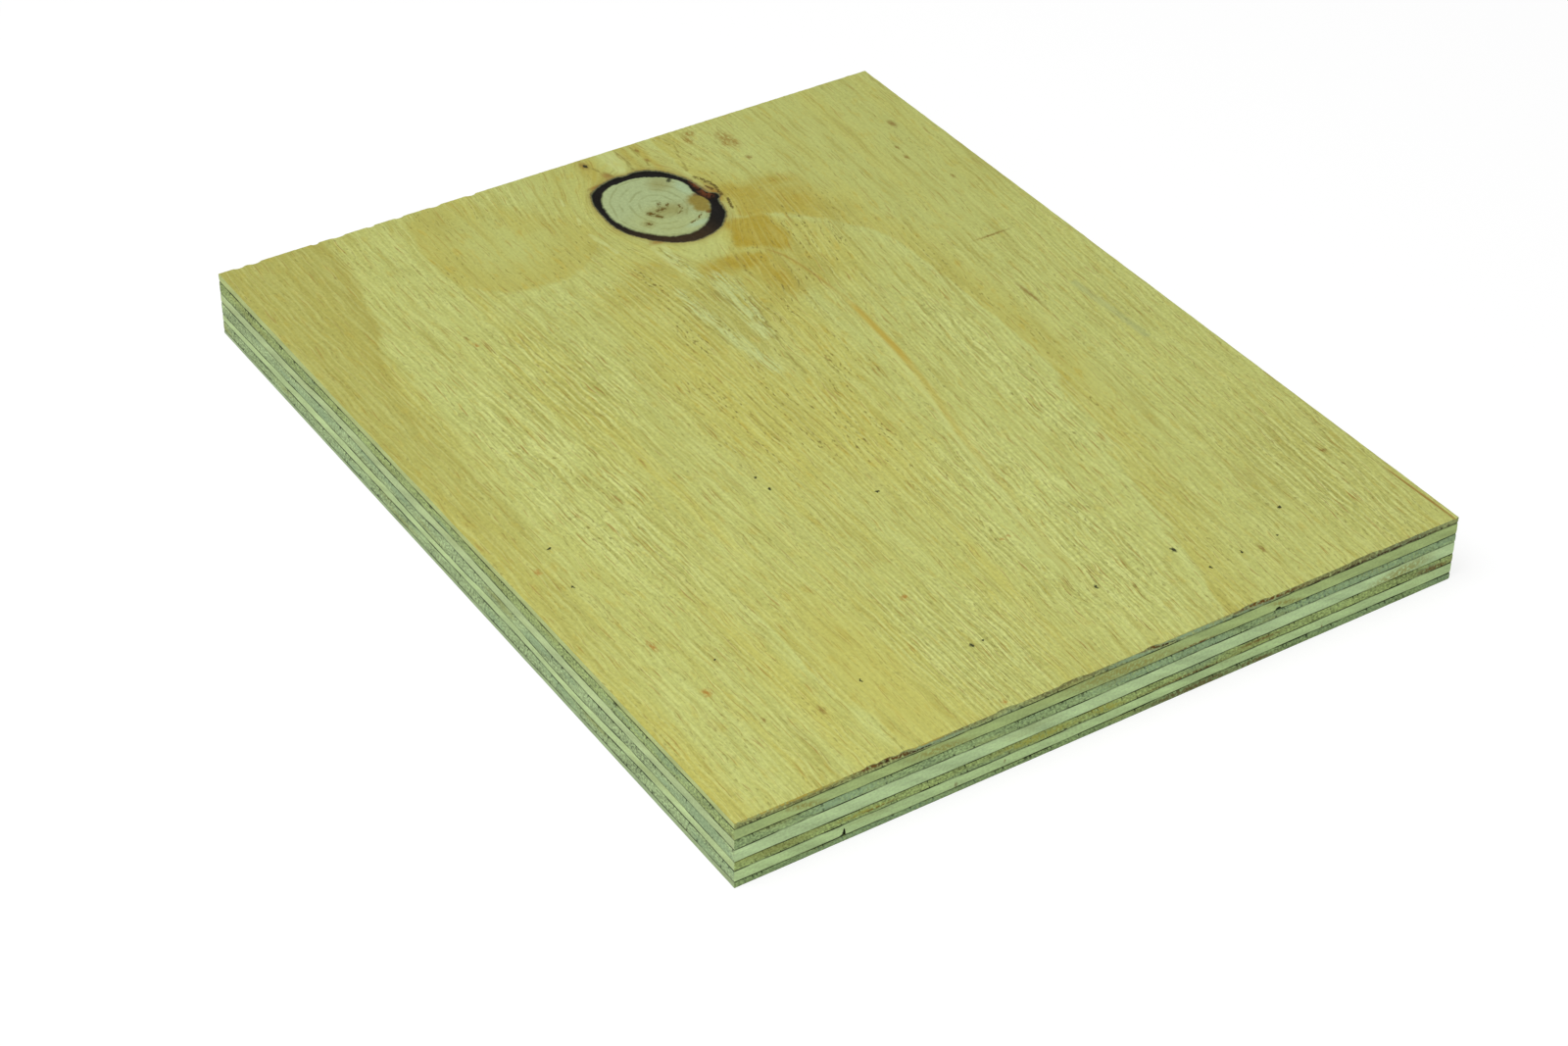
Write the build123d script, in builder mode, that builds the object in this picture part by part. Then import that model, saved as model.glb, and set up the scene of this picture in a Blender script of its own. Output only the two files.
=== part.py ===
"""A sample panel of seven-ply softwood plywood, sawn square on all four sides and lying flat.

Millimetres. The origin is under the middle of the panel, on the plane that it lies on.
+X runs across the face grain, +Y along it, and +Z up through the face.
"""

import os

from build123d import *

# Panel outline
PANEL_WIDTH = 196.0
PANEL_LENGTH = 243.0

# Lay-up from the back up. Odd plies have their grain along Y and even plies along X.
LAY_UP = {
    "back_veneer": 1.7,
    "lower_crossband": 2.9,
    "lower_core": 2.4,
    "centre_crossband": 3.5,
    "upper_core": 2.6,
    "upper_crossband": 3.2,
    "face_veneer": 1.7,
}

# Encased knot in the face veneer: an oval of branch wood in a ring of bark, which has shrunk below the face.
# The branch wood sits off the ring's centre, so the bark is thickest at the lower right.
BARK_CENTRE = (12.7, 90.4)
BARK_RADII = (15.0, 18.6)
BRANCH_CENTRE = (12.2, 91.0)
BRANCH_RADII = (12.9, 15.8)
BARK_SHRINKAGE = 0.3

# Chips that the saw tore out of the face veneer along the back edge: place along X, and width
TORN_CHIPS = (
    (-92.2, 2.6),
    (-88.0, 3.4),
    (-71.1, 2.0),
    (-64.6, 3.6),
    (-55.2, 2.2),
    (-47.1, 2.4),
    (-36.7, 3.0),
    (-26.0, 2.8),
)
CHIP_REACH = 0.5
CHIP_DEPTH = 0.9

# Core void: a pocket in the front edge, on the glue line under the upper crossband
VOID_PLACE = 45.3
VOID_WIDTH = 1.4
VOID_HEIGHT = 0.8
VOID_DEPTH = 4.0

# Split: a knife check in the front edge of the lower crossband, open from its underside
SPLIT_PLACE = -70.7
SPLIT_WIDTH = 0.35
SPLIT_HEIGHT = 1.9
SPLIT_DEPTH = 3.0

BACK_EDGE = PANEL_LENGTH / 2
FACE_PLANE = Plane.XY.offset(sum(LAY_UP.values()))
FRONT_PLANE = Plane.XZ.offset(PANEL_LENGTH / 2)


def underside(ply):
    """The height of a ply's underside above the plane that the panel lies on."""
    names = list(LAY_UP)
    return sum(LAY_UP[name] for name in names[: names.index(ply)])


def bed(ply):
    """The plane that a ply is laid on."""
    return Plane.XY.offset(underside(ply))


def plain_ply(ply):
    """A veneer trimmed to the panel's outline, with nothing cut into it."""
    with BuildPart() as veneer:
        with BuildSketch(bed(ply)):
            Rectangle(PANEL_WIDTH, PANEL_LENGTH)
        extrude(amount=LAY_UP[ply])
    return veneer.part


# Face veneer, with the bark ring sunk round its knot and its back edge chipped by the saw
with BuildPart() as face_veneer:
    with BuildSketch(bed("face_veneer")):
        Rectangle(PANEL_WIDTH, PANEL_LENGTH)
    extrude(amount=LAY_UP["face_veneer"])
    with BuildSketch(FACE_PLANE):
        with Locations(BARK_CENTRE):
            Ellipse(*BARK_RADII)
        with Locations(BRANCH_CENTRE):
            Ellipse(*BRANCH_RADII, mode=Mode.SUBTRACT)
    extrude(amount=-BARK_SHRINKAGE, mode=Mode.SUBTRACT)
    with BuildSketch(FACE_PLANE):
        for place, width in TORN_CHIPS:
            with Locations((place, BACK_EDGE)):
                Ellipse(width / 2, CHIP_REACH)
    extrude(amount=-CHIP_DEPTH, mode=Mode.SUBTRACT)

# Upper crossband, with half of the core void cut from its underside
with BuildPart() as upper_crossband:
    with BuildSketch(bed("upper_crossband")):
        Rectangle(PANEL_WIDTH, PANEL_LENGTH)
    extrude(amount=LAY_UP["upper_crossband"])
    with BuildSketch(FRONT_PLANE):
        with Locations((VOID_PLACE, underside("upper_crossband"))):
            Ellipse(VOID_WIDTH / 2, VOID_HEIGHT)
    extrude(amount=-VOID_DEPTH, mode=Mode.SUBTRACT)

# Lower crossband, with a knife check that narrows to nothing above its open foot
with BuildPart() as lower_crossband:
    with BuildSketch(bed("lower_crossband")):
        Rectangle(PANEL_WIDTH, PANEL_LENGTH)
    extrude(amount=LAY_UP["lower_crossband"])
    with BuildSketch(FRONT_PLANE):
        with BuildLine():
            Polyline(
                (SPLIT_PLACE - SPLIT_WIDTH / 2, underside("lower_crossband")),
                (SPLIT_PLACE, underside("lower_crossband") + SPLIT_HEIGHT),
                (SPLIT_PLACE + SPLIT_WIDTH / 2, underside("lower_crossband")),
                close=True,
            )
        make_face()
    extrude(amount=-SPLIT_DEPTH, mode=Mode.SUBTRACT)

plies = {
    "back_veneer": plain_ply("back_veneer"),
    "lower_crossband": lower_crossband.part,
    "lower_core": plain_ply("lower_core"),
    "centre_crossband": plain_ply("centre_crossband"),
    "upper_core": plain_ply("upper_core"),
    "upper_crossband": upper_crossband.part,
    "face_veneer": face_veneer.part,
}

os.makedirs("parts", exist_ok=True)
for name, ply in plies.items():
    ply.label = name
    export_step(ply, f"parts/{name}.step")
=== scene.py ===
# %% [markdown]
# # A sample panel of seven-ply plywood
#
# Plywood is made of thin veneers peeled from a log and glued with their grain crossed, ply by ply.
# This lesson dresses a plain model of such a panel: seven flat slabs, all of them where they belong.
# The slabs give every size below. Lengths are in millimetres in the text and in metres in Blender.

# %% Load the plain model and measure it
import math

import bpy
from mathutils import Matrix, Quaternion, Vector


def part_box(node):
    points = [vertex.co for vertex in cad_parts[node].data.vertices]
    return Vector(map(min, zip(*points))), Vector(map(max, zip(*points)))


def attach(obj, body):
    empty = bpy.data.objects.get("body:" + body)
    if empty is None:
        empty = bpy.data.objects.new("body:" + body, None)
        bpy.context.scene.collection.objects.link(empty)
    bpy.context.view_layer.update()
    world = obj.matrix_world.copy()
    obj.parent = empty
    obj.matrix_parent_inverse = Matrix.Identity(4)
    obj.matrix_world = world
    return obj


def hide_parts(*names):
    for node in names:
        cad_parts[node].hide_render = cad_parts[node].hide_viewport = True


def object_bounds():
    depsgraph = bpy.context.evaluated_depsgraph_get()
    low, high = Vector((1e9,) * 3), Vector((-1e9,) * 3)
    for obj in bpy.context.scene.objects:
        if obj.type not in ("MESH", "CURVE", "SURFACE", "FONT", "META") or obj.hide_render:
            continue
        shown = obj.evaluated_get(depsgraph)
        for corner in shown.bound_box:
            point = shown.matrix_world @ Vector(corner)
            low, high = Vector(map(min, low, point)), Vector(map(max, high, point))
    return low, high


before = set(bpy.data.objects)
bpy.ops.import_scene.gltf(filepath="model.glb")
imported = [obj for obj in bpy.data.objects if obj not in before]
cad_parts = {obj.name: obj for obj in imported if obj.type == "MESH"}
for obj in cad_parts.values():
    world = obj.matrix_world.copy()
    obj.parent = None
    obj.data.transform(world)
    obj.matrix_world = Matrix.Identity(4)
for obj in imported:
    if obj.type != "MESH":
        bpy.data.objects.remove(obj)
cad_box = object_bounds()

MM = 0.001
PLIES = (
    "back_veneer",
    "lower_crossband",
    "lower_core",
    "centre_crossband",
    "upper_core",
    "upper_crossband",
    "face_veneer",
)
LEFT, FRONT, FLOOR = (value / MM for value in cad_box[0])
RIGHT, BACK, FACE = (value / MM for value in cad_box[1])
WIDTH = RIGHT - LEFT
LENGTH = BACK - FRONT
ply_bottom = {ply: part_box(ply)[0].z / MM for ply in PLIES}
ply_top = {ply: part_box(ply)[1].z / MM for ply in PLIES}
print(f"panel {WIDTH:.1f} by {LENGTH:.1f} by {FACE:.1f} mm")
print("plies end at", [round(ply_top[ply], 1) for ply in PLIES])

# %% [markdown]
# ## The camera
#
# The view is that of a small product picture: a long lens that looks down at about 37 degrees, with the
# near corner of the panel low in the frame. A focal length in pixels becomes a lens length through the
# width of the sensor. The slight roll is a turn about the view axis.

# %% Place the camera
PICTURE_WIDTH = 1600
FOCAL_PIXELS = 3452
SENSOR_WIDTH = 36.0
CAMERA_PLACE = Vector((-372.4, -554.7, 480.1)) * MM
CAMERA_AIM = Vector((-21.0, -21.5, 0.0)) * MM
CAMERA_ROLL = math.radians(0.79)

lens = bpy.data.cameras.new("camera")
lens.sensor_width = SENSOR_WIDTH
lens.lens = FOCAL_PIXELS * SENSOR_WIDTH / PICTURE_WIDTH
camera = bpy.data.objects.new("camera", lens)
bpy.context.scene.collection.objects.link(camera)
camera.location = CAMERA_PLACE
camera.rotation_mode = "QUATERNION"
level_view = (CAMERA_AIM - CAMERA_PLACE).to_track_quat("-Z", "Y")
camera.rotation_quaternion = level_view @ Quaternion((0.0, 0.0, 1.0), CAMERA_ROLL)
bpy.context.scene.camera = camera
print(f"lens {lens.lens:.1f} mm, {(CAMERA_AIM - CAMERA_PLACE).length:.2f} m from the panel")

# %% [markdown]
# ## Building node trees from sums
#
# Wood is mostly arithmetic: stretched noise, distances and smooth steps. Blender does that with Math
# nodes, which are tedious to wire one by one. A `Field` below is one output of a node that can be
# added and multiplied like a number, and every sum adds the Math node for it. The same helpers serve
# Geometry Nodes and materials, so a knot that is sunk in the mesh is also dark in the same place. A noise
# is written as its size across, its size along, its seed and, where that isn't 1, its detail.

# %% Helpers that add nodes
class Field:
    """One output of a node, which sums as a number does by adding Math nodes to its tree."""

    def __init__(self, tree, socket):
        self.tree = tree
        self.socket = socket

    def __add__(self, other):
        return maths("ADD", self, other)

    def __sub__(self, other):
        return maths("SUBTRACT", self, other)

    def __rsub__(self, other):
        return maths("SUBTRACT", other, self)

    def __mul__(self, other):
        return maths("MULTIPLY", self, other)

    def __truediv__(self, other):
        return maths("DIVIDE", self, other)

    __radd__ = __add__
    __rmul__ = __mul__


def feed(tree, socket, value):
    """Links a Field or a socket to an input, or writes a plain value there. None leaves it alone."""
    if isinstance(value, Field):
        value = value.socket
    if isinstance(value, bpy.types.NodeSocket):
        tree.links.new(value, socket)
    elif value is not None:
        socket.default_value = value


def node(tree, kind, *values, **settings):
    """Adds a node, sets its options, and feeds its inputs in their order."""
    made = tree.nodes.new(kind)
    for option, value in settings.items():
        setattr(made, option, value)
    for socket, value in zip(made.inputs, values):
        feed(tree, socket, value)
    return made


def maths(operation, *values):
    """One Math node, in the tree of its first Field."""
    tree = next(value.tree for value in values if isinstance(value, Field))
    return Field(tree, node(tree, "ShaderNodeMath", *values, operation=operation).outputs[0])


# %% Helpers for steps, noise and drawn curves
SEED_STEP = 17.31


def ramp(value, start, end):
    """Goes smoothly from 0 at start to 1 at end."""
    made = node(
        value.tree, "ShaderNodeMapRange", value, start, end, 0.0, 1.0, interpolation_type="SMOOTHSTEP"
    )
    return Field(value.tree, made.outputs[0])


def joined(x, y):
    """Two coordinates as one place."""
    return Field(x.tree, node(x.tree, "ShaderNodeCombineXYZ", x, y, 0.0).outputs[0])


def stretched_noise(place, across, along, seed, detail=1.0):
    """Noise from 0 to 1 with features of about these sizes in mm. Each seed reads another part of it."""
    scale = (1.0 / across, 1.0 / along, 0.0)
    offset = (seed * SEED_STEP, seed * SEED_STEP, 0.0)
    spread = node(place.tree, "ShaderNodeVectorMath", place, scale, offset, operation="MULTIPLY_ADD")
    spread = spread.outputs[0]
    made = node(place.tree, "ShaderNodeTexNoise", spread, None, 1.0, detail, noise_dimensions="2D")
    return Field(place.tree, made.outputs[0])


def drawn_curve(value, points):
    """Reads a smooth curve through a few (place, height) points, which are in order of place."""
    first, last = points[0][0], points[-1][0]
    lowest = min(height for place, height in points)
    span = max(height for place, height in points) - lowest
    share = node(value.tree, "ShaderNodeMapRange", value, first, last, 0.0, 1.0)
    made = node(value.tree, "ShaderNodeFloatCurve", 1.0, share.outputs[0])
    knots = made.mapping.curves[0].points
    while len(knots) < len(points):
        knots.new(0.5, 0.5)
    for knot, (place, height) in zip(knots, points):
        knot.location = ((place - first) / (last - first), (height - lowest) / span)
        knot.handle_type = "AUTO_CLAMPED"
    made.mapping.update()
    return Field(value.tree, made.outputs[0]) * span + lowest


def millimetres(tree, place):
    """The three coordinates of a place, in mm, as Fields."""
    parts = node(tree, "ShaderNodeSeparateXYZ", place)
    return [Field(tree, part) * (1.0 / MM) for part in parts.outputs]


print("helpers ready")

# %% [markdown]
# ## Glue lines
#
# Peeled veneer is never quite even, so the glue lines wander by about half a millimetre along a sawn
# edge. Each line is one surface that both of its neighbours share. It is drawn along the front and the
# left edge, and in between it passes over from one drawing to the other. Towards the two far edges some
# noise takes over. The numbers are (place along the edge, rise above the even lay-up).

# %% Draw the glue lines
FRONT_RISE = {
    "back_veneer": ((-98, 0.0), (-33, -0.2), (32, 0.3), (98, 0.15)),
    "lower_crossband": ((-98, 0.15), (-50, 0.0), (-28, -0.25), (30, 0.15), (98, 0.3)),
    "lower_core": ((-98, 0.25), (-23, -0.1), (32, 0.3), (98, 0.45)),
    "centre_crossband": ((-98, 0.1), (-63, 0.4), (-23, -0.1), (32, 0.4), (98, 0.3)),
    "upper_core": ((-98, 0.15), (-30, 0.0), (40, -0.05), (98, 0.0)),
    "upper_crossband": ((-98, -0.05), (-50, -0.1), (0, 0.0), (98, -0.05)),
}
LEFT_RISE = {
    "back_veneer": ((-121, 0.0), (-60, -0.3), (20, -0.5), (121, -0.6)),
    "lower_crossband": (
        (-121, 0.15), (-93, 0.4), (-58, -0.4), (-33, 0.3), (20, -0.1), (80, -0.5), (121, -0.8)
    ),
    "lower_core": (
        (-121, 0.25), (-85, 0.55), (-55, -0.5), (-25, 0.4), (6, -0.3), (31, 0.1), (71, -0.1), (99, -0.7),
        (121, -1.1),
    ),
    "centre_crossband": (
        (-121, 0.1), (-33, -0.4), (1, 0.1), (21, -0.5), (55, 0.0), (75, -0.5), (101, -0.9), (121, -1.0)
    ),
    "upper_core": ((-121, 0.15), (-60, -0.2), (3, 0.3), (31, 0.0), (53, 0.35), (76, -0.5), (121, -0.9)),
    "upper_crossband": ((-121, -0.05), (0, -0.25), (121, -0.6)),
}
FAR_EDGE_RISE = 0.9
FAR_EDGE_WAVE = 34.0
# Keeps the near left corner, where both drawings start, from dividing nothing by nothing.
CORNER_MARGIN = 0.5


def glue_line(x, y, ply):
    """The height in mm of the glue line on top of a ply."""
    from_front = y - (FRONT - CORNER_MARGIN)
    from_left = x - (LEFT - CORNER_MARGIN)
    side_share = from_front / (from_front + from_left)
    front_rise = drawn_curve(x, FRONT_RISE[ply])
    left_rise = drawn_curve(y, LEFT_RISE[ply])
    far_share = from_front * from_left * (1.0 / (WIDTH * LENGTH))
    far_wave = stretched_noise(joined(x, y), FAR_EDGE_WAVE, FAR_EDGE_WAVE, PLIES.index(ply)) - 0.5
    drawn_rise = front_rise + (left_rise - front_rise) * side_share
    return drawn_rise + far_wave * far_share * FAR_EDGE_RISE + ply_top[ply]


print(len(FRONT_RISE), "glue lines drawn")

# %% [markdown]
# ## The six plies under the face
#
# A ply is a slab between two glue lines, so its shape follows a rule and Geometry Nodes can make it.
# The tree starts from a subdivided block, lays the block's rows between the two lines, and draws the
# sawn edge in a little at the glue, where a blade leaves a fine groove. It also stores on every point
# how far up the ply it is, from 0 to 1, which the materials use to find the glue. Two plies have an
# open flaw in the front edge: a core void and a knife check. Those are cut with a long ellipsoid.

# %% Helpers that run a Geometry Nodes tree
SHARP_ANGLE = math.radians(40)


def start_tree(name, inputs):
    """A Geometry Nodes tree with named inputs and one geometry output."""
    tree = bpy.data.node_groups.new(name, "GeometryNodeTree")
    for label, kind in inputs.items():
        tree.interface.new_socket(label, in_out="INPUT", socket_type="NodeSocket" + kind)
    tree.interface.new_socket("Geometry", in_out="OUTPUT", socket_type="NodeSocketGeometry")
    return tree, node(tree, "NodeGroupInput").outputs


def end_tree(tree, geometry, material):
    """Rounds off the shading, realizes what is left and sets the material."""
    angle = Field(tree, node(tree, "GeometryNodeInputMeshEdgeAngle").outputs[0])
    sharp = maths("GREATER_THAN", angle, SHARP_ANGLE)
    smooth = node(tree, "GeometryNodeSetShadeSmooth", geometry, None, True)
    creased = node(tree, "GeometryNodeSetShadeSmooth", smooth.outputs[0], sharp, False, domain="EDGE")
    real = node(tree, "GeometryNodeRealizeInstances", creased.outputs[0])
    finished = node(tree, "GeometryNodeSetMaterial", real.outputs[0], None, material)
    node(tree, "NodeGroupOutput", finished.outputs[0])


def run_tree(name, tree, values):
    """Runs a tree once and keeps its result as an object with a plain mesh."""
    maker = bpy.data.objects.new(name + "_maker", bpy.data.meshes.new(name + "_maker"))
    bpy.context.scene.collection.objects.link(maker)
    modifier = maker.modifiers.new("shape", "NODES")
    modifier.node_group = tree
    for item in tree.interface.items_tree:
        if item.in_out == "INPUT":
            modifier[item.identifier] = values[item.name]
    graph = bpy.context.evaluated_depsgraph_get()
    mesh = bpy.data.meshes.new_from_object(
        maker.evaluated_get(graph), preserve_all_data_layers=True, depsgraph=graph
    )
    bpy.data.objects.remove(maker)
    mesh.materials.pop(index=0)
    mesh.name = name
    piece = bpy.data.objects.new(name, mesh)
    bpy.context.scene.collection.objects.link(piece)
    return piece


wood = {ply: bpy.data.materials.new(ply + "_wood") for ply in PLIES}

# %% The slab of one ply
GLUE_REACH = 0.3
EDGE_FUZZ = (0.9, 0.9, 7, 2.0)
POCKET_SEGMENTS = 24
POCKET_RINGS = 12
POCKETS = {
    "upper_crossband": ((45.3, FRONT, ply_bottom["upper_crossband"]), (0.75, 4.0, 0.8)),
    "lower_crossband": ((-70.7, FRONT, ply_bottom["lower_crossband"]), (0.18, 3.0, 1.9)),
}


def drawn_in(x, y, level, thickness, groove, fuzz):
    """How far in mm a point of the sawn edge lies behind the saw cut."""
    from_glue = maths("MINIMUM", level, 1.0 - level) * thickness
    at_glue = 1.0 - ramp(from_glue, 0.0, GLUE_REACH)
    return at_glue * groove + stretched_noise(joined(x + y, level * thickness), *EDGE_FUZZ) * fuzz


def behind_cut(x, y, drawn):
    """A place on the sawn edge, drawn so many mm towards the panel's middle."""
    return x - x * drawn * (2.0 / WIDTH), y - y * drawn * (2.0 / LENGTH)


def stored(tree, geometry, name, value, where=None):
    """Stores a value on the points of a mesh, all of them or only some."""
    return node(tree, "GeometryNodeStoreNamedAttribute", geometry, where, name, value).outputs[0]


def level_in_ply(tree):
    """How far up its ply a point is, from 0 to 1, as it was stored."""
    return Field(tree, node(tree, "GeometryNodeInputNamedAttribute", "ply_level").outputs[0])


def set_place(tree, geometry, x, y, z):
    """Moves every point to x, y and z, given in mm."""
    place = node(tree, "ShaderNodeCombineXYZ", x * MM, y * MM, z * MM)
    return node(tree, "GeometryNodeSetPosition", geometry, None, place.outputs[0]).outputs[0]


def cut_pocket(tree, geometry, centre, radii):
    """Cuts a long ellipsoid out of a ply."""
    ball = node(tree, "GeometryNodeMeshUVSphere", POCKET_SEGMENTS, POCKET_RINGS, 1.0)
    long_ball = node(tree, "GeometryNodeTransform", ball.outputs[0])
    long_ball.inputs["Translation"].default_value = [value * MM for value in centre]
    long_ball.inputs["Scale"].default_value = [value * MM for value in radii]
    cut = node(tree, "GeometryNodeMeshBoolean", operation="DIFFERENCE", solver="EXACT")
    tree.links.new(geometry, cut.inputs["Mesh 1"])
    tree.links.new(long_ball.outputs[0], cut.inputs["Mesh 2"])
    return cut.outputs[0]


PLY_INPUTS = {
    "Width": "Float",
    "Length": "Float",
    "Columns": "Int",
    "Rows": "Int",
    "Glue Groove": "Float",
    "Fuzz": "Float",
    "Wood": "Material",
}


def slab_tree(ply):
    """The tree that makes one ply below the face."""
    tree, given = start_tree(ply + "_slab", PLY_INPUTS | {"Layers": "Int"})
    extent = node(tree, "ShaderNodeCombineXYZ", given["Width"], given["Length"], 1.0)
    block = node(
        tree, "GeometryNodeMeshCube", extent.outputs[0], given["Columns"], given["Rows"], given["Layers"]
    )
    x, y, z = millimetres(tree, node(tree, "GeometryNodeInputPosition").outputs[0])
    level = ramp(z * MM, -0.5, 0.5)
    marked = stored(tree, block.outputs[0], "ply_level", level)
    kept_level = level_in_ply(tree)
    below = PLIES.index(ply) - 1
    bottom = FLOOR if below < 0 else glue_line(x, y, PLIES[below])
    height = (glue_line(x, y, ply) - bottom) * kept_level + bottom
    thickness = ply_top[ply] - ply_bottom[ply]
    drawn = drawn_in(x, y, kept_level, thickness, given["Glue Groove"], given["Fuzz"])
    placed = set_place(tree, marked, *behind_cut(x, y, drawn), height)
    if ply in POCKETS:
        placed = cut_pocket(tree, placed, *POCKETS[ply])
    end_tree(tree, placed, given["Wood"])
    return tree


# %% Make the six plies
PLY_SIZES = {"Width": WIDTH * MM, "Length": LENGTH * MM, "Glue Groove": 0.1, "Fuzz": 0.08}
SLAB_GRID = {"Columns": 99, "Rows": 122, "Layers": 8}

pieces = {}
for ply in PLIES[:-1]:
    values = PLY_SIZES | SLAB_GRID | {"Wood": wood[ply]}
    pieces[ply] = run_tree(ply + "_peeled", slab_tree(ply), values)
    print(ply, len(pieces[ply].data.polygons), "faces")

# %% [markdown]
# ## The face veneer's grain and knot
#
# The face is the part that people look at. Its grain runs straight along the panel and parts round an
# encased knot, as water parts round a stone, so the grain is drawn on a coordinate that bends as a
# stream does round a post, with a slow and a fine waver of its own. The knot is an oval of branch wood in
# a ring of black bark, uneven in width. Both outlines are given as points on the face, and become
# a distance from the knot's middle for every angle round it.

# %% Grain that parts round the knot
KNOT = (12.5, 90.5)
KNOT_REACH = 14.0
KNOT_STRETCH = 1.25
SLOW_WAVES = (7.0, 16.0, 2, 2.0)
SLOW_WAVER = 1.6
FINE_WAVES = (2.6, 8.0, 6)
FINE_WAVER = 0.8
GRAIN_LEAN = 0.075
LEAN_FROM = -45.0
LEAN_TO = 5.0
LINE_GAP = 1.65
LINE_DRIFT = 12.0
LINE_SHARE = 0.18
DRIFT_WAVES = (5.0, 30.0, 4)
FIBRES = (0.8, 18.0, 3)
LINE_FOOT = 0.5
LINE_CREST = 0.76


def grain_across(x, y):
    """The coordinate across the grain, in mm, bent round the knot as a stream bends round a post."""
    from_x = x - KNOT[0]
    from_y = y - KNOT[1]
    round_y = from_y * (1.0 / KNOT_STRETCH)
    away = maths("MAXIMUM", from_x * from_x + round_y * round_y, KNOT_REACH**2)
    slow_waver = (stretched_noise(joined(x, y), *SLOW_WAVES) - 0.5) * SLOW_WAVER
    waver = slow_waver + (stretched_noise(joined(x, y), *FINE_WAVES) - 0.5) * FINE_WAVER
    lean = from_y * ramp(x, LEAN_FROM, LEAN_TO) * GRAIN_LEAN
    return from_x - from_x * (KNOT_REACH**2) / away + waver - lean + KNOT[0]


def fibre_lines(across, y):
    """How high the fibre lines stand that the peeling knife lifts, from about 0 in the gaps to 1."""
    flow = joined(across, y)
    drift = stretched_noise(flow, *DRIFT_WAVES) * LINE_DRIFT
    wave = maths("SINE", across * (2 * math.pi / LINE_GAP) + drift)
    return wave * LINE_SHARE + stretched_noise(flow, *FIBRES)


# %% The bark ring round the knot
BARK_EDGE = (
    (-2.1, 91), (-1.8, 96), (-1.2, 100), (0.2, 103.4), (1.6, 105.4), (4, 106.9), (7, 108), (10.5, 108.7),
    (13, 108.2), (16.5, 108.4), (19, 107.5), (21.5, 105.5), (23.5, 103), (25, 100), (26, 97.5), (26.4, 95),
    (26.7, 92), (27.3, 89.6), (28.7, 87), (27.4, 85.4), (26.7, 82.5), (26, 80), (25, 78), (23, 75.8),
    (21, 74), (18.5, 72.8), (15.5, 72), (13, 71.8), (10.5, 72.2), (8, 73.2), (5, 75.6), (3, 77.5),
    (0.9, 80.6), (-0.6, 83.1), (-1.6, 86), (-2.1, 89),
)
BRANCH_EDGE = (
    (-0.9, 92), (-0.4, 96), (0.2, 98.5), (1.3, 101), (2.6, 103), (4.5, 104.8), (7, 106), (9.5, 106.1),
    (12, 106.4), (14.5, 106.1), (16.5, 105.5), (19, 104.2), (21, 102.8), (22.6, 101), (24, 98.8),
    (24.7, 96), (24.5, 94), (24.4, 91.5), (25, 89), (25.3, 87), (25, 85), (24, 83), (22.5, 80.8), (21, 79),
    (19, 77.2), (16.5, 75.8), (13.5, 75.1), (11, 75.3), (8.5, 76), (6.5, 77.3), (4.5, 79.2), (3, 81),
    (1.5, 83), (0.5, 85), (-0.4, 88), (-0.9, 90),
)
BARK_CRUMBLE = (1.3, 1.3, 11, 2.0)
BARK_WAVER = 0.45
BARK_SPREAD = 0.28


def turned_round(points, middle):
    """The points of a closed outline as (degrees round a middle, mm from it)."""
    turned = []
    for x, y in points:
        from_x = x - middle[0]
        from_y = y - middle[1]
        turned.append((math.degrees(math.atan2(from_y, from_x)), math.hypot(from_x, from_y)))
    turned.sort()
    seam = (turned[0][1] + turned[-1][1]) / 2
    return [(-180.0, seam)] + turned + [(180.0, seam)]


def round_middle(x, y, middle):
    """Distance from a middle in mm, and the angle round it in degrees."""
    from_x = x - middle[0]
    from_y = y - middle[1]
    reach = maths("SQRT", from_x * from_x + from_y * from_y)
    return reach, maths("ARCTAN2", from_y, from_x) * (180.0 / math.pi)


def bark_ring(x, y, softness):
    """1 on the bark and 0 elsewhere, 1 within its outer edge, and the distance in mm outside that edge."""
    reach, angle = round_middle(x, y, KNOT)
    waver = (stretched_noise(joined(x, y), *BARK_CRUMBLE) - 0.5) * BARK_WAVER
    outside = reach - drawn_curve(angle, turned_round(BARK_EDGE, KNOT)) + waver - BARK_SPREAD
    inside = reach - drawn_curve(angle, turned_round(BRANCH_EDGE, KNOT)) - waver + BARK_SPREAD
    within = 1.0 - ramp(outside, -softness, softness)
    branch = 1.0 - ramp(inside, -softness, softness)
    return within - branch, within, outside


print("knot at", KNOT)

# %% [markdown]
# ## Zones of the face
#
# A knife that peels a log cuts through its growth rings at a shallow angle, so one ring shows as a
# broad pale or yellow zone with a ragged rim. Left of the knot one ring even shows as an island.
# Resin from the knot has stained the wood beside it. The zones are too particular for noise, so they are
# drawn: ovals, strokes, closed outlines, and edges that run along the panel. They change slowly, so
# they needn't be worked out for every pixel. The face's own tree stores them on the mesh instead, one
# attribute for each kind of wood, and the material only has to read them.

# %% Helpers for ovals, outlines and ragged rims
STROKE_CORE = 0.2


def spot(place, centre, size, softness):
    """1 inside an oval and 0 outside. The soft rim is a share of the oval's size."""
    scale = (1.0 / size[0], 1.0 / size[1], 0.0)
    offset = (-centre[0] / size[0], -centre[1] / size[1], 0.0)
    local = node(place.tree, "ShaderNodeVectorMath", place, scale, offset, operation="MULTIPLY_ADD")
    away = node(place.tree, "ShaderNodeVectorMath", local.outputs[0], operation="LENGTH")
    return ramp(Field(place.tree, away.outputs[1]), 1.0 + softness, 1.0 - softness)


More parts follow.
